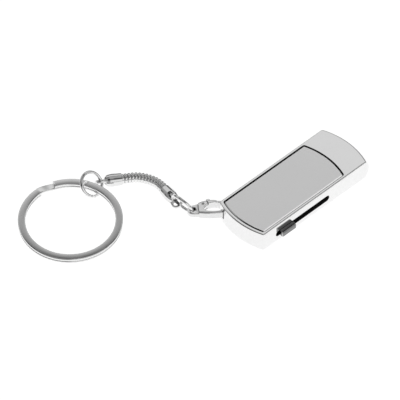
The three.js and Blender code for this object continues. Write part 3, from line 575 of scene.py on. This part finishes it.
def bowed_outline(left, right, half_width, corner, inset):
    """Straight sides and two bowed ends, joined by small rounded corners."""
    reach = math.sqrt(END_RADIUS**2 - half_width**2)
    bow = END_RADIUS - inset
    rounding = max(corner - inset, LEAST_ROUNDING)
    high = half_width - inset - rounding
    to_corner = math.sqrt((bow - rounding) ** 2 - high**2)
    swing = math.degrees(math.atan2(high, to_corner))
    right_centre, left_centre = right - reach, left + reach
    return [
        *arc(right_centre, 0, bow, -swing, swing, 40),
        *arc(right_centre + to_corner, high, rounding, swing, 90, 8)[1:],
        *arc(left_centre - to_corner, high, rounding, 90, 180 - swing, 8),
        *arc(left_centre, 0, bow, 180 - swing, 180 + swing, 40)[1:],
        *arc(left_centre - to_corner, -high, rounding, 180 + swing, 270, 8)[1:],
        *arc(right_centre + to_corner, -high, rounding, 270, 360 - swing, 8)[:-1],
    ]


def body_outline(inset):
    return bowed_outline(LEFT_CHORD, RIGHT_CHORD, HALF_WIDTH, CORNER_RADIUS, inset)


PANEL_LEFT, PANEL_LENGTH, PANEL_BORDER, PANEL_CORNER = 0.75, 31.95, 1.0, 0.5


def panel_outline(inset):
    left = LEFT_CHORD + PANEL_LEFT
    return bowed_outline(left, left + PANEL_LENGTH, HALF_WIDTH - PANEL_BORDER, PANEL_CORNER, inset)


print("outline points:", len(body_outline(0)))

# %% [markdown]
# The openings' sizes come next. What the frame already knows, such as the panel's height, the corner
# post and the screws, is read from it. The rest is in millimetres from the middle of the body.

# %% Sizes of the openings
PANEL_LOW, PANEL_HIGH = (corner.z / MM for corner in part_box("top_panel"))
ADHESIVE_ROOM = 0.1
POCKET_FLOOR = PANEL_LOW - ADHESIVE_ROOM
PANEL_GROOVE = 0.2
RIM_ROUND = 0.08
SLOT_X0, SLOT_X1 = LEFT_CHORD + 4.8, LEFT_CHORD + 26.0
SLOT_HEIGHT, SLOT_MIDDLE = 2.0, 3.1
POST = [v / MM for v in next(j["pos_m"] for j in frame["joints"] if j["name"] == "clasp_swing")]
POST_RADIUS, TUNNEL_RADIUS, TUNNEL_HEIGHT, BLOCK_WALL = 1.1, 2.8, 2.8, 0.8
BOSS_RADIUS, PILOT_RADIUS, PILOT_DEPTH = 1.05, 0.45, 3.4
MOUTH_HALF = 6.25
END_SWELL = 1.4
SIDE_LEVELS = 12
MOUTH_REACH = 5.0
SLOT_LIP = 0.05
BOSS_GAP = 0.02
CLEAR = 1.0
BEYOND = 2.0
print("pocket floor, mm:", round(POCKET_FLOOR, 2))

# %% [markdown]
# Every opening is a solid tool of its own. The cavity's tool is the body's outline pulled in by the
# wall, less the posts that stand in it, and the tunnel's tool is a round bar with the corner post left
# out.

# %% Tools that carve the shell
def screw_places():
    found = [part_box(name) for name in frame["nodes"] if name.startswith("cover_screw")]
    return [((low.x + high.x) / 2 / MM, (low.y + high.y) / 2 / MM) for low, high in found]


def cavity_tool():
    """The hollow of the shell, less the posts that stand in it."""
    hollow = prism("hollow", lambda inset: body_outline(WALL + inset), -BEYOND, CAVITY_TOP)
    top = CAVITY_TOP + CLEAR
    boss_foot = BASE_THICKNESS + BOSS_GAP
    posts = [peg("corner_block", POST[0], POST[1], TUNNEL_RADIUS + BLOCK_WALL, 0, top)]
    posts += [peg("boss", x, y, BOSS_RADIUS, boss_foot, top) for x, y in screw_places()]
    return combine(hollow, "DIFFERENCE", *posts)


def tunnel_tool():
    """A ring-shaped tunnel round the corner post."""
    low, high = POST[2] - TUNNEL_HEIGHT / 2, POST[2] + TUNNEL_HEIGHT / 2
    ring = peg("tunnel", POST[0], POST[1], TUNNEL_RADIUS, low, high, 64)
    post = peg("post", POST[0], POST[1], POST_RADIUS, low - CLEAR, high + CLEAR)
    return combine(ring, "DIFFERENCE", post)


def pocket_tool():
    """The panel's pocket, whose rim flares over a rounded edge."""
    levels = [(0, POCKET_FLOOR)]
    levels += [(RIM_ROUND - drop, BODY_HEIGHT - inset) for inset, drop in reversed(quarter(RIM_ROUND))]
    levels.append((RIM_ROUND, BODY_HEIGHT + BEYOND))
    rings = [[(x, y, z) for x, y in panel_outline(-PANEL_GROOVE - out)] for out, z in levels]
    return loft("pocket", rings)


def slot_outline(grow):
    radius = SLOT_HEIGHT / 2
    right = arc(SLOT_X1 - radius, SLOT_MIDDLE, radius + grow, -90, 90, 16)
    left = arc(SLOT_X0 + radius, SLOT_MIDDLE, radius + grow, 90, 270, 16)
    return (right + left)[::-1]


def slot_tool():
    """The slider's slot, cut from outside in, with a small flare at the wall's face."""
    levels = [(SLOT_LIP, -HALF_WIDTH - BEYOND), (SLOT_LIP, -HALF_WIDTH)]
    levels += [(0, -HALF_WIDTH + SLOT_LIP), (0, -HALF_WIDTH + BEYOND)]
    return loft("slot", [[(x, y, z) for x, z in slot_outline(grow)] for grow, y in levels])


def box_solid(name, x0, x1, y0, y1, z0, z1):
    corners = [(x0, y0), (x1, y0), (x1, y1), (x0, y1)]
    return loft(name, [[(x, y, z) for x, y in corners] for z in (z0, z1)])


print("screws, mm:", [(round(x, 2), round(y, 2)) for x, y in screw_places()])

# %% [markdown]
# The body's outside is one loft. Its right end bulges at mid height, so the points of that end and its
# corners are moved outwards, and most of all half way up. Then all the tools are taken away in turn.

# %% The finished shell
def body_skin():
    """The shell's outside, whose right end swells at mid height."""
    swell_from = RIGHT_CHORD - 2 * CORNER_RADIUS
    lower = quarter(EDGE_ROUND)[::-1]
    upper = [(inset, BODY_HEIGHT - drop) for inset, drop in quarter(EDGE_ROUND)]
    side_height = BODY_HEIGHT - 2 * EDGE_ROUND
    side = [(0, EDGE_ROUND + side_height * i / SIDE_LEVELS) for i in range(1, SIDE_LEVELS)]
    rings = []
    for inset, z in lower + side + upper:
        swell = END_SWELL * (1 - (2 * z / BODY_HEIGHT - 1) ** 2)
        plan = body_outline(inset)
        rings.append([(x + (swell if x > swell_from else 0), y, z) for x, y in plan])
    return loft("drive_body", rings)


housing = body_skin()
pilots = [peg("pilot", x, y, PILOT_RADIUS, -CLEAR, PILOT_DEPTH, 24) for x, y in screw_places()]
mouth_end = RIGHT_CHORD + MOUTH_REACH
mouth = box_solid("mouth", 0, mouth_end, -MOUTH_HALF, MOUTH_HALF, BASE_THICKNESS, CAVITY_TOP)
combine(housing, "DIFFERENCE", cavity_tool(), tunnel_tool(), pocket_tool(), slot_tool(), mouth, *pilots)
smooth_shade(housing)
hand_over(housing, "housing", body_chrome, "body_chrome", "housing_shell")

# %% [markdown]
# In a plated shell the narrow joint round the panel and the slot look black, since no light comes back
# out of them. A mirror finish would still flash inside, so the chrome faces that line them are painted
# with the dark plastic instead: painted shade.

# %% Painted shade in the joint and the slot
UPWARD = 0.9
FLOOR_SLACK, FACE_SLACK, BACK_SLACK, SLOT_SLACK = 0.05, 0.02, 0.01, 0.1
housing.data.materials.append(black_plastic)


def takes_painted_shade(face):
    """Whether a face lines the panel's pocket or the slider's slot, where shade is painted."""
    x, y, z = face.center / MM
    turned_in = face.normal.x * x + face.normal.y * y < 0 or face.normal.z > UPWARD
    in_pocket = POCKET_FLOOR - FLOOR_SLACK < z < BODY_HEIGHT - RIM_ROUND and turned_in
    in_wall = -HALF_WIDTH + FACE_SLACK < y < -HALF_WIDTH + WALL + BACK_SLACK
    in_length = SLOT_X0 - SLOT_SLACK < x < SLOT_X1 + SLOT_SLACK
    in_height = abs(z - SLOT_MIDDLE) < SLOT_HEIGHT / 2 + SLOT_SLACK
    return in_pocket or (in_wall and in_length and in_height)


# Painted shade: the faces in the joint and the slot take the black plastic.
for face in housing.data.polygons:
    face.material_index = int(takes_painted_shade(face))
print("painted shade faces:", sum(face.material_index for face in housing.data.polygons))

# %% [markdown]
# ## The top panel
# The panel is stamped from satin sheet, and its upper edge is then cut bright with a diamond tool, as
# watch bezels are. The cut is a narrow flat chamfer that flashes white or black while the face stays an
# even grey. Its outline is the pocket's, about a third of a millimetre smaller, which leaves the fine
# dark joint round it.

# %% Top panel
PANEL_CUT, PANEL_CUT_DEPTH, PANEL_EASE = 0.26, 0.2, 0.12
CUT_LEAST, CUT_MOST = 0.3, 0.95
cut_levels = [(0, PANEL_LOW), (0, PANEL_HIGH - PANEL_CUT_DEPTH), (PANEL_CUT, PANEL_HIGH)]
panel_plans = [(panel_outline(PANEL_EASE + inset), z) for inset, z in cut_levels]
panel = loft("satin_top_panel", [[(x, y, z) for x, y in plan] for plan, z in panel_plans])
smooth_shade(panel, 20)
hand_over(panel, "housing", satin_panel, "satin_panel", "top_panel")
panel.data.materials.append(body_chrome)
for face in panel.data.polygons:
    face.material_index = int(CUT_LEAST < face.normal.z < CUT_MOST)

# %% [markdown]
# ## The slider knob
# The knob is a short dark plated bar. Its stripes of reflection run lengthwise because its section is
# rounded, so it is lofted from its plan with a broad radius on the upper edge and a small one on the
# lower. Its two ends take the bright chrome as a painted highlight, and it is joined to the flange and
# tab that hold it behind the slot.

# %% Slider knob
knob_low, knob_high = (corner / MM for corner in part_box("slider_knob"))
KNOB_LENGTH, KNOB_HEIGHT, KNOB_NOSE = 5.3, 1.8, 0.3
KNOB_FOOT, KNOB_BROW, KNOB_END = 0.25, 0.65, 0.15
FLANGE_HALF, TAB_HALF, TAB_TALL = 1.7, 1.4, 0.65
TRAY_HALF = 6.8
GUIDE_BACK = 7.5
BAR_ROOT, TAB_ROOT, FLANGE_GAP = 0.2, 0.3, 0.1
ENDWAYS = 0.9
knob_x = (knob_low.x + knob_high.x) / 2


def knob_outline(inset):
    half_length = KNOB_LENGTH / 2 - inset * KNOB_END
    x0, x1 = knob_x - half_length, knob_x + half_length
    y0, y1 = knob_low.y + inset, -GUIDE_BACK + BAR_ROOT
    nose = KNOB_NOSE
    return [
        *arc(x0 + nose, y0 + nose, nose, 180, 270, 10),
        *arc(x1 - nose, y0 + nose, nose, 270, 360, 10),
        (x1, y1),
        (x0, y1),
    ]


knob_base, knob_top = SLOT_MIDDLE - KNOB_HEIGHT / 2, SLOT_MIDDLE + KNOB_HEIGHT / 2
knob = prism("slider_bar", knob_outline, knob_base, knob_top, KNOB_FOOT, KNOB_BROW)
flange = box_solid(
    "flange", knob_low.x, knob_high.x, -GUIDE_BACK, -TRAY_HALF - FLANGE_GAP,
    SLOT_MIDDLE - FLANGE_HALF, SLOT_MIDDLE + FLANGE_HALF,
)
tab = box_solid(
    "tab", knob_x - TAB_HALF, knob_x + TAB_HALF, -TRAY_HALF - TAB_ROOT, knob_high.y,
    SLOT_MIDDLE - TAB_TALL, SLOT_MIDDLE + TAB_TALL,
)
combine(knob, "UNION", flange, tab)
smooth_shade(knob)
hand_over(knob, "carriage", dark_chrome, "dark_knob", "slider_knob")
# Painted highlight: the knob's outer end faces take the bright body chrome.
knob.data.materials.append(body_chrome)
for face in knob.data.polygons:
    face.material_index = int(abs(face.normal.x) > ENDWAYS and face.center.y / MM < -HALF_WIDTH)

# %% [markdown]
# ## The plug
# The plug's shell is folded from thin steel sheet round a plastic tongue. The fold leaves a seam
# underneath, and two windows in each face let the socket's springs catch it. It is hidden in the body
# until the knob is pushed, but it is the part that the whole object exists for.

# %% Plug shell
PLUG_WIDTH, PLUG_HEIGHT, PLUG_SHEET, PLUG_CORNER = 12.0, 4.5, 0.3, 0.5
WINDOW_SIDE, WINDOW_FROM, WINDOW_TO = 2.75, 6.5, 4.0
WINDOW_HALF, WINDOW_CORNER = 1.0, 0.25
SEAM_WIDTH, SEAM_DEPTH = 0.08, 0.7
plug_low, plug_high = (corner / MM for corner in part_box("plug_shell"))
plug_middle = (plug_low.z + plug_high.z) / 2


def plug_ring(x, inset):
    """The shell's section at x, drawn in Y and Z."""
    half_wide, half_tall = PLUG_WIDTH / 2 - inset, PLUG_HEIGHT / 2 - inset
    rounding = PLUG_CORNER - inset
    y, z = half_wide - rounding, half_tall - rounding
    corners = [(y, z, 0), (-y, z, 90), (-y, -z, 180), (y, -z, 270)]
    points = [p for cy, cz, start in corners for p in arc(cy, cz, rounding, start, start + 90, 8)]
    return [(x, py, pz + plug_middle) for py, pz in points]


def window(side):
    """A tall tool with rounded corners that pierces both faces of the shell."""
    right, left = plug_high.x - WINDOW_TO - WINDOW_CORNER, plug_high.x - WINDOW_FROM + WINDOW_CORNER
    high, low = side + WINDOW_HALF - WINDOW_CORNER, side - WINDOW_HALF + WINDOW_CORNER
    corners = [(right, high, 0), (left, high, 90), (left, low, 180), (right, low, 270)]
    points = [p for x, y, start in corners for p in arc(x, y, WINDOW_CORNER, start, start + 90, 5)]
    levels = (plug_low.z - CLEAR, plug_high.z + CLEAR)
    return loft("window", [[(x, y, z) for x, y in points] for z in levels])


LIP = 0.1
plug_levels = [(plug_low.x, 0), (plug_high.x - LIP, 0)]
plug_levels += [(plug_high.x - LIP * 0.3, LIP * 0.3), (plug_high.x, LIP)]
plug = loft("plug_sleeve", [plug_ring(x, inset) for x, inset in plug_levels])
bore = loft("bore", [plug_ring(x, PLUG_SHEET) for x in (plug_low.x - CLEAR, plug_high.x + CLEAR)])
seam = box_solid(
    "seam", plug_low.x - CLEAR, plug_high.x + CLEAR, -SEAM_WIDTH / 2, SEAM_WIDTH / 2,
    plug_low.z - CLEAR, plug_low.z + PLUG_SHEET * SEAM_DEPTH,
)
combine(plug, "DIFFERENCE", bore, seam, *[window(side) for side in (-WINDOW_SIDE, WINDOW_SIDE)])
smooth_shade(plug)
hand_over(plug, "carriage", plug_steel, "steel", "plug_shell")

# %% [markdown]
# ## Cast pieces
# The clasp, its trigger and the two ferrules are small zinc castings, tumbled before they are plated,
# so no edge on them is sharp. The model's solids have the right form with hard edges. A merged copy is
# remeshed with small voxels and smoothed, which rounds each edge as tumbling does and leaves the form
# alone.

# %% Clasp, trigger and ferrules
MERGE = 1e-6


def cast_copy(name, node, voxel_mm, passes):
    """A soft-edged copy of a CAD node."""
    shape = bmesh.new()
    shape.from_mesh(frame["nodes"][node].data)
    bmesh.ops.remove_doubles(shape, verts=shape.verts, dist=MERGE)
    mesh = bpy.data.meshes.new(name)
    shape.to_mesh(mesh)
    shape.free()
    piece = bpy.data.objects.new(name, mesh)
    bpy.context.scene.collection.objects.link(piece)
    remesh = piece.modifiers.new("voxels", "REMESH")
    remesh.mode = "VOXEL"
    remesh.voxel_size = voxel_mm * MM
    remesh.use_smooth_shade = True
    tumble = piece.modifiers.new("tumble", "SMOOTH")
    tumble.factor = 0.5
    tumble.iterations = passes
    return settle(piece)


CASTINGS = {
    "clasp_body": ("lobster_claw", "clasp", 0.07, 12),
    "clasp_trigger": ("lobster_trigger", "trigger", 0.06, 9),
    "ferrule_near": ("end_cap_near", "chain_near", 0.07, 7),
    "ferrule_far": ("end_cap_far", "chain_far", 0.07, 7),
}
for node, (name, body, voxel, passes) in CASTINGS.items():
    hand_over(cast_copy(name, node, voxel, passes), body, cast_chrome, "keychain_chrome", node)

# %% [markdown]
# ## Rings of round wire
# The link ring and the jump ring are bent from round wire. Each model ring lies in a plane of its own,
# so the link ring's plane and centre are measured from the model's points, and a finely divided ring is
# swept there.

# %% Wire rings
WIRE = 0.5


def ring_plane(node):
    """The centre of a CAD ring and two axes in its plane."""
    points = np.array([v.co for v in frame["nodes"][node].data.vertices], float) / MM
    points = np.unique(points.round(4), axis=0)
    middle = points.mean(0)
    axes = np.linalg.svd(points - middle, full_matrices=False)[2]
    flat = (points - middle) @ axes[:2].T
    unknown = np.linalg.lstsq(np.c_[2 * flat, np.ones(len(flat))], (flat**2).sum(1), rcond=None)[0]
    centre = middle + unknown[:2] @ axes[:2]
    return Vector(centre), Vector(axes[0]), Vector(axes[1])


def ring_section(centre, level, rise, radius, angle, wire, steps=20):
    """A circle of the wire's radius, standing across the ring at that angle."""
    outward = level * math.cos(angle) + rise * math.sin(angle)
    normal = level.cross(rise)
    spot = centre + outward * radius
    turns = [2 * math.pi * i / steps for i in range(steps)]
    return [spot + (outward * math.cos(a) + normal * math.sin(a)) * wire for a in turns]


def closed_ring(name, node, steps=120):
    centre, level, rise = ring_plane(node)
    points = np.array([v.co for v in frame["nodes"][node].data.vertices], float) / MM
    radius = np.linalg.norm(points - np.array(centre), axis=1).max() - WIRE
    angles = [-2 * math.pi * i / steps for i in range(steps)]
    return loft(name, [ring_section(centre, level, rise, radius, a, WIRE) for a in angles], closed=True)


link = closed_ring("link_ring_wire", "link_ring")
smooth_shade(link, 60)
hand_over(link, "link", wire_chrome, "keychain_chrome", "link_ring")

# %% [markdown]
# The jump ring keeps the slit that it is opened by, and its cut ends are slightly rounded. Where the
# slit sits matters, so this ring's plane is given by a heading and a slope, and only its centre is
# measured.

# %% Jump ring with its slit
JUMP_SLIT = 6.0
JUMP_HEADING, JUMP_SLOPE, JUMP_SLIT_AT = 11.5, 45.0, 235.0
JUMP_RADIUS = 3.55
END_SOFTNESS = 0.9
END_STOPS = [(0.0, 0.72), (0.35, 0.92), (1.0, 1.0)]


def slit_ring(name, node, radius, level, rise, slit_at, slit, steps=110):
    """A ring of round wire with an opening, whose ends are softened."""
    centre = ring_plane(node)[0]
    start, end = math.radians(slit_at + slit / 2), math.radians(slit_at - slit / 2 + 360)
    soft = math.radians(END_SOFTNESS)
    angles = [(start + soft * along, wire) for along, wire in END_STOPS]
    angles += [(start + soft + (end - start - 2 * soft) * i / steps, 1.0) for i in range(1, steps)]
    angles += [(end - soft * along, wire) for along, wire in reversed(END_STOPS)]
    angles.reverse()
    return loft(name, [ring_section(centre, level, rise, radius, a, WIRE * wire) for a, wire in angles])


jump_level = Matrix.Rotation(math.radians(JUMP_HEADING), 3, "Z") @ Vector((1, 0, 0))
flat_rise = Vector((-jump_level.y, jump_level.x, 0))
jump_rise = Matrix.Rotation(math.radians(JUMP_SLOPE), 3, jump_level) @ flat_rise
jump = slit_ring("jump_ring_wire", "jump_ring", JUMP_RADIUS, jump_level, jump_rise, JUMP_SLIT_AT, JUMP_SLIT)
smooth_shade(jump, 60)
hand_over(jump, "jump", wire_chrome, "keychain_chrome", "jump_ring")

# %% [markdown]
# ## The split ring
# A split ring is one length of flattened wire wound into two flat turns that press on each other. Where
# the first turn ends, the wire steps up by its own thickness to start the second. The step and the
# square cut ends are what make it read as a split ring, so the wire's rounded section is swept along
# that two-turn path.

# %% Split ring
SPLIT_OUTER, SPLIT_BAND, SPLIT_SOFT = 15.0, 2.2, 0.32
SPLIT_PITCH, SPLIT_COIL = 0.96, 0.88
SPLIT_HEADING = 40.0
JOG_START, JOG_SPAN = 27.0, 20.0
SPLIT_STEPS = 460
turn_joint = next(j for j in frame["joints"] if j["name"] == "split_turn")
split_centre = Vector(turn_joint["pos_m"]) / MM
split_normal = Vector(turn_joint["axis"]).normalized()
ahead = Matrix.Rotation(math.radians(SPLIT_HEADING), 3, "Z") @ Vector((1, 0, 0))
split_level = (ahead - split_normal * ahead.dot(split_normal)).normalized()
split_rise = split_normal.cross(split_level)


def band_section(soft):
    """The flattened wire's section: outward and upward, from the middle of the band."""
    wide, tall = SPLIT_BAND / 2 - soft, SPLIT_COIL / 2 - soft
    corners = [(wide, tall, 0), (-wide, tall, 90), (-wide, -tall, 180), (wide, -tall, 270)]
    return [p for x, y, start in corners for p in arc(x, y, soft, start, start + 90, 4)]


def split_ring():
    sweep = 720 - JOG_SPAN
    rings = []
    for i in range(SPLIT_STEPS + 1):
        turned = sweep * i / SPLIT_STEPS
        along = min(max((turned - (360 - JOG_SPAN)) / JOG_SPAN, 0), 1)
        lift = SPLIT_PITCH * (along * along * (3 - 2 * along) - 0.5)
        angle = math.radians(JOG_START + JOG_SPAN + turned)
        outward = split_level * math.cos(angle) + split_rise * math.sin(angle)
        spot = split_centre + outward * (SPLIT_OUTER - SPLIT_BAND / 2)
        rings.append([spot + outward * x + split_normal * (y + lift) for x, y in band_section(SPLIT_SOFT)])
    rings.reverse()
    return loft("split_ring_coil", rings)


split = split_ring()
smooth_shade(split, 50)
hand_over(split, "split", wire_chrome, "keychain_chrome", "split_ring")

# %% [markdown]
# ## The snake chain
# A snake chain is a row of short, slightly barrelled links that lock into each other and hide the
# joints, so it bends like a soft tube. The row follows a path, which is the kind of work that Geometry
# Nodes do well: the path is cut into equal steps, a link is placed on each and turned along the path,
# and a core closes the gaps. The path starts inside the near end cap, whose place comes from its joint,
# and ends inside the far one.

# %% The chain's path
FERRULE_LENGTH = 6.1
NEAR_HEADING, FAR_HEADING = 81.6, -34.7
FAR_MOUTH = (-5.9, 11.4)
CHAIN_ROUTE = [(0.2, 3.3), (-0.7, 6.4), (-2.7, 9.2)]
INTO_SOCKET = 2.0
PATH_STEPS = 12


def joint_place(name):
    return Vector(next(j["pos_m"] for j in frame["joints"] if j["name"] == name)) / MM


def heading(degrees):
    return Vector((math.cos(math.radians(degrees)), math.sin(math.radians(degrees)), 0))


def between(p0, p1, p2, p3, share):
    """A centripetal Catmull-Rom curve from p1 to p2."""
    t0 = 0.0
    t1 = t0 + math.sqrt((p1 - p0).length)
    t2 = t1 + math.sqrt((p2 - p1).length)
    t3 = t2 + math.sqrt((p3 - p2).length)
    t = t1 + (t2 - t1) * share
    a1 = p0.lerp(p1, (t - t0) / (t1 - t0))
    a2 = p1.lerp(p2, (t - t1) / (t2 - t1))
    a3 = p2.lerp(p3, (t - t2) / (t3 - t2))
    b1 = a1.lerp(a2, (t - t0) / (t2 - t0))
    b2 = a2.lerp(a3, (t - t1) / (t3 - t1))
    return b1.lerp(b2, (t - t1) / (t2 - t1))


near_mouth = joint_place("ferrule_turn") + heading(NEAR_HEADING) * FERRULE_LENGTH
far_mouth = near_mouth + Vector((*FAR_MOUTH, 0))
knots = [near_mouth - heading(NEAR_HEADING) * INTO_SOCKET, near_mouth]
knots += [near_mouth + Vector((x, y, 0)) for x, y in CHAIN_ROUTE]
knots += [far_mouth, far_mouth - heading(FAR_HEADING) * INTO_SOCKET]
ends = [2 * knots[0] - knots[1], *knots, 2 * knots[-1] - knots[-2]]
path = [
    between(*ends[k:k + 4], i / PATH_STEPS)
    for k in range(len(knots) - 1) for i in range(PATH_STEPS)
]
path.append(knots[-1])
chain_length = sum((b - a).length for a, b in zip(path, path[1:]))
print("chain length, mm:", round(chain_length, 2))

# %% [markdown]
# One link is a short cylinder whose ends are pulled in, and the node tree places it along the path. The
# tree takes the path and five values as inputs, so another chain only needs other values.

# %% The chain's links in Geometry Nodes
LINK_PITCH, LINK_RADIUS, LINK_CLEARANCE, LINK_BULGE = 0.98, 1.58, 0.05, 0.13
CORE_RADIUS = 1.22


def chain_tree(finish):
    """A row of barrelled links along the incoming path, with a core through them."""
    tree = bpy.data.node_groups.new("snake_chain", "GeometryNodeTree")
    sockets = {"Path": tree.interface.new_socket("Path", in_out="INPUT", socket_type="NodeSocketGeometry")}
    for name in ("Pitch", "Radius", "Clearance", "Bulge", "Core radius"):
        sockets[name] = tree.interface.new_socket(name, in_out="INPUT", socket_type="NodeSocketFloat")
    tree.interface.new_socket("Chain", in_out="OUTPUT", socket_type="NodeSocketGeometry")
    graph = Graph(tree)
    entry = tree.nodes.new("NodeGroupInput")
    given = {name: Wire(graph, entry.outputs[name]) for name in sockets}
    curve = graph.add("GeometryNodeMeshToCurve", inputs={0: given["Path"]})
    steps = graph.add(
        "GeometryNodeResampleCurve", {"mode": "LENGTH"}, {"Curve": curve, "Length": given["Pitch"]}
    )
    depth = given["Pitch"] - given["Clearance"]
    barrel = graph.add("GeometryNodeMeshCylinder", inputs={
        "Vertices": 28, "Side Segments": 8, "Radius": given["Radius"], "Depth": depth,
    })
    place = graph.add("GeometryNodeInputPosition")
    z = graph.axes(place)[2]
    along = graph.math("ABSOLUTE", z * 2 / depth)
    shrink = along ** 3 * given["Bulge"] * -1
    flat = graph.vector("MULTIPLY", place, (1.0, 1.0, 0.0))
    offset = graph.add("ShaderNodeVectorMath", {"operation": "SCALE"}, {0: flat, 3: shrink})
    barrel = graph.add("GeometryNodeSetPosition", inputs={"Geometry": barrel, "Offset": offset})
    tangent = graph.add("GeometryNodeInputTangent")
    turned = graph.add("FunctionNodeAlignRotationToVector", {"axis": "Z"}, {"Vector": tangent})
    row = graph.add(
        "GeometryNodeInstanceOnPoints", inputs={"Points": steps, "Instance": barrel, "Rotation": turned}
    )
    real = graph.add("GeometryNodeRealizeInstances", inputs={0: row})
    round_core = {"Resolution": 24, "Radius": given["Core radius"]}
    circle = graph.add("GeometryNodeCurvePrimitiveCircle", inputs=round_core)
    core = graph.add(
        "GeometryNodeCurveToMesh", inputs={"Curve": curve, "Profile Curve": circle, "Fill Caps": True}
    )
    joined = tree.nodes.new("GeometryNodeJoinGeometry")
    for part in (real, core):
        tree.links.new(part.socket, joined.inputs[0])
    finished = graph.add(
        "GeometryNodeSetMaterial", inputs={"Geometry": Wire(graph, joined.outputs[0]), "Material": finish}
    )
    leave = tree.nodes.new("NodeGroupOutput")
    tree.links.new(finished.socket, leave.inputs[0])
    return tree, sockets


def snake_chain():
    mesh = bpy.data.meshes.new("chain_path")
    mesh.from_pydata([p * MM for p in path], [(i, i + 1) for i in range(len(path) - 1)], [])
    chain = bpy.data.objects.new("snake_chain", mesh)
    bpy.context.scene.collection.objects.link(chain)
    tree, sockets = chain_tree(wire_chrome)
    nodes = chain.modifiers.new("links", "NODES")
    nodes.node_group = tree
    sizes = {
        "Pitch": LINK_PITCH, "Radius": LINK_RADIUS, "Clearance": LINK_CLEARANCE, "Core radius": CORE_RADIUS,
    }
    for name, size in sizes.items():
        nodes[sockets[name].identifier] = size * MM
    nodes[sockets["Bulge"].identifier] = LINK_BULGE
    return settle(chain)


chain = snake_chain()
smooth_shade(chain, 50)
hand_over(chain, None, wire_chrome, "keychain_chrome", "snake_chain_near", "snake_chain_far")

# %% [markdown]
# In the model the chain is two rigid halves with one joint between them. The single visible chain is
# one rigid piece that follows neither half: the points a few millimetres either side of that joint are
# worked out, but nothing is weighted to them, so it does not bend.

# %% The chain's joint
chain_middle = joint_place("chain_flex")
chain_ahead = (far_mouth - near_mouth).normalized()
FLEX_REACH = 3.0
(chain_middle - chain_ahead * FLEX_REACH) * MM
(chain_middle + chain_ahead * FLEX_REACH) * MM
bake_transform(chain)
print("bend reaches, mm:", FLEX_REACH)

# %% [markdown]
# ## Finishes for the model's own pieces
# The pieces inside, the base cover, its screws and the clasp's rivet and spring have the right shape
# already. They stay as they are and only take a finish.

# %% Finishes on the CAD nodes
NODE_FINISHES = {
    "base_cover": body_chrome,
    "panel_adhesive": adhesive_film,
    "cover_screw": spring_steel,
    "slider_guide": black_plastic,
    "detent_spring": spring_steel,
    "carriage_tray": black_plastic,
    "carriage_cover": black_plastic,
    "plug_insulator": black_plastic,
    "plug_contact": contact_gold,
    "circuit_board": board_green,
    "memory_chip": chip_epoxy,
    "controller_chip": chip_epoxy,
    "crystal": plug_steel,
    "clasp_rivet": spring_steel,
    "clasp_spring": spring_steel,
}
finished = 0
for name, node in frame["nodes"].items():
    if name.startswith("capacitor"):
        finish = capacitor_finish("ceramic_" + name, name)
    else:
        finish = next((made for start, made in NODE_FINISHES.items() if name.startswith(start)), None)
    if finish is None:
        continue
    node.data.materials.clear()
    node.data.materials.append(finish)
    finished += 1
print("nodes finished:", finished, "of", len(frame["nodes"]))
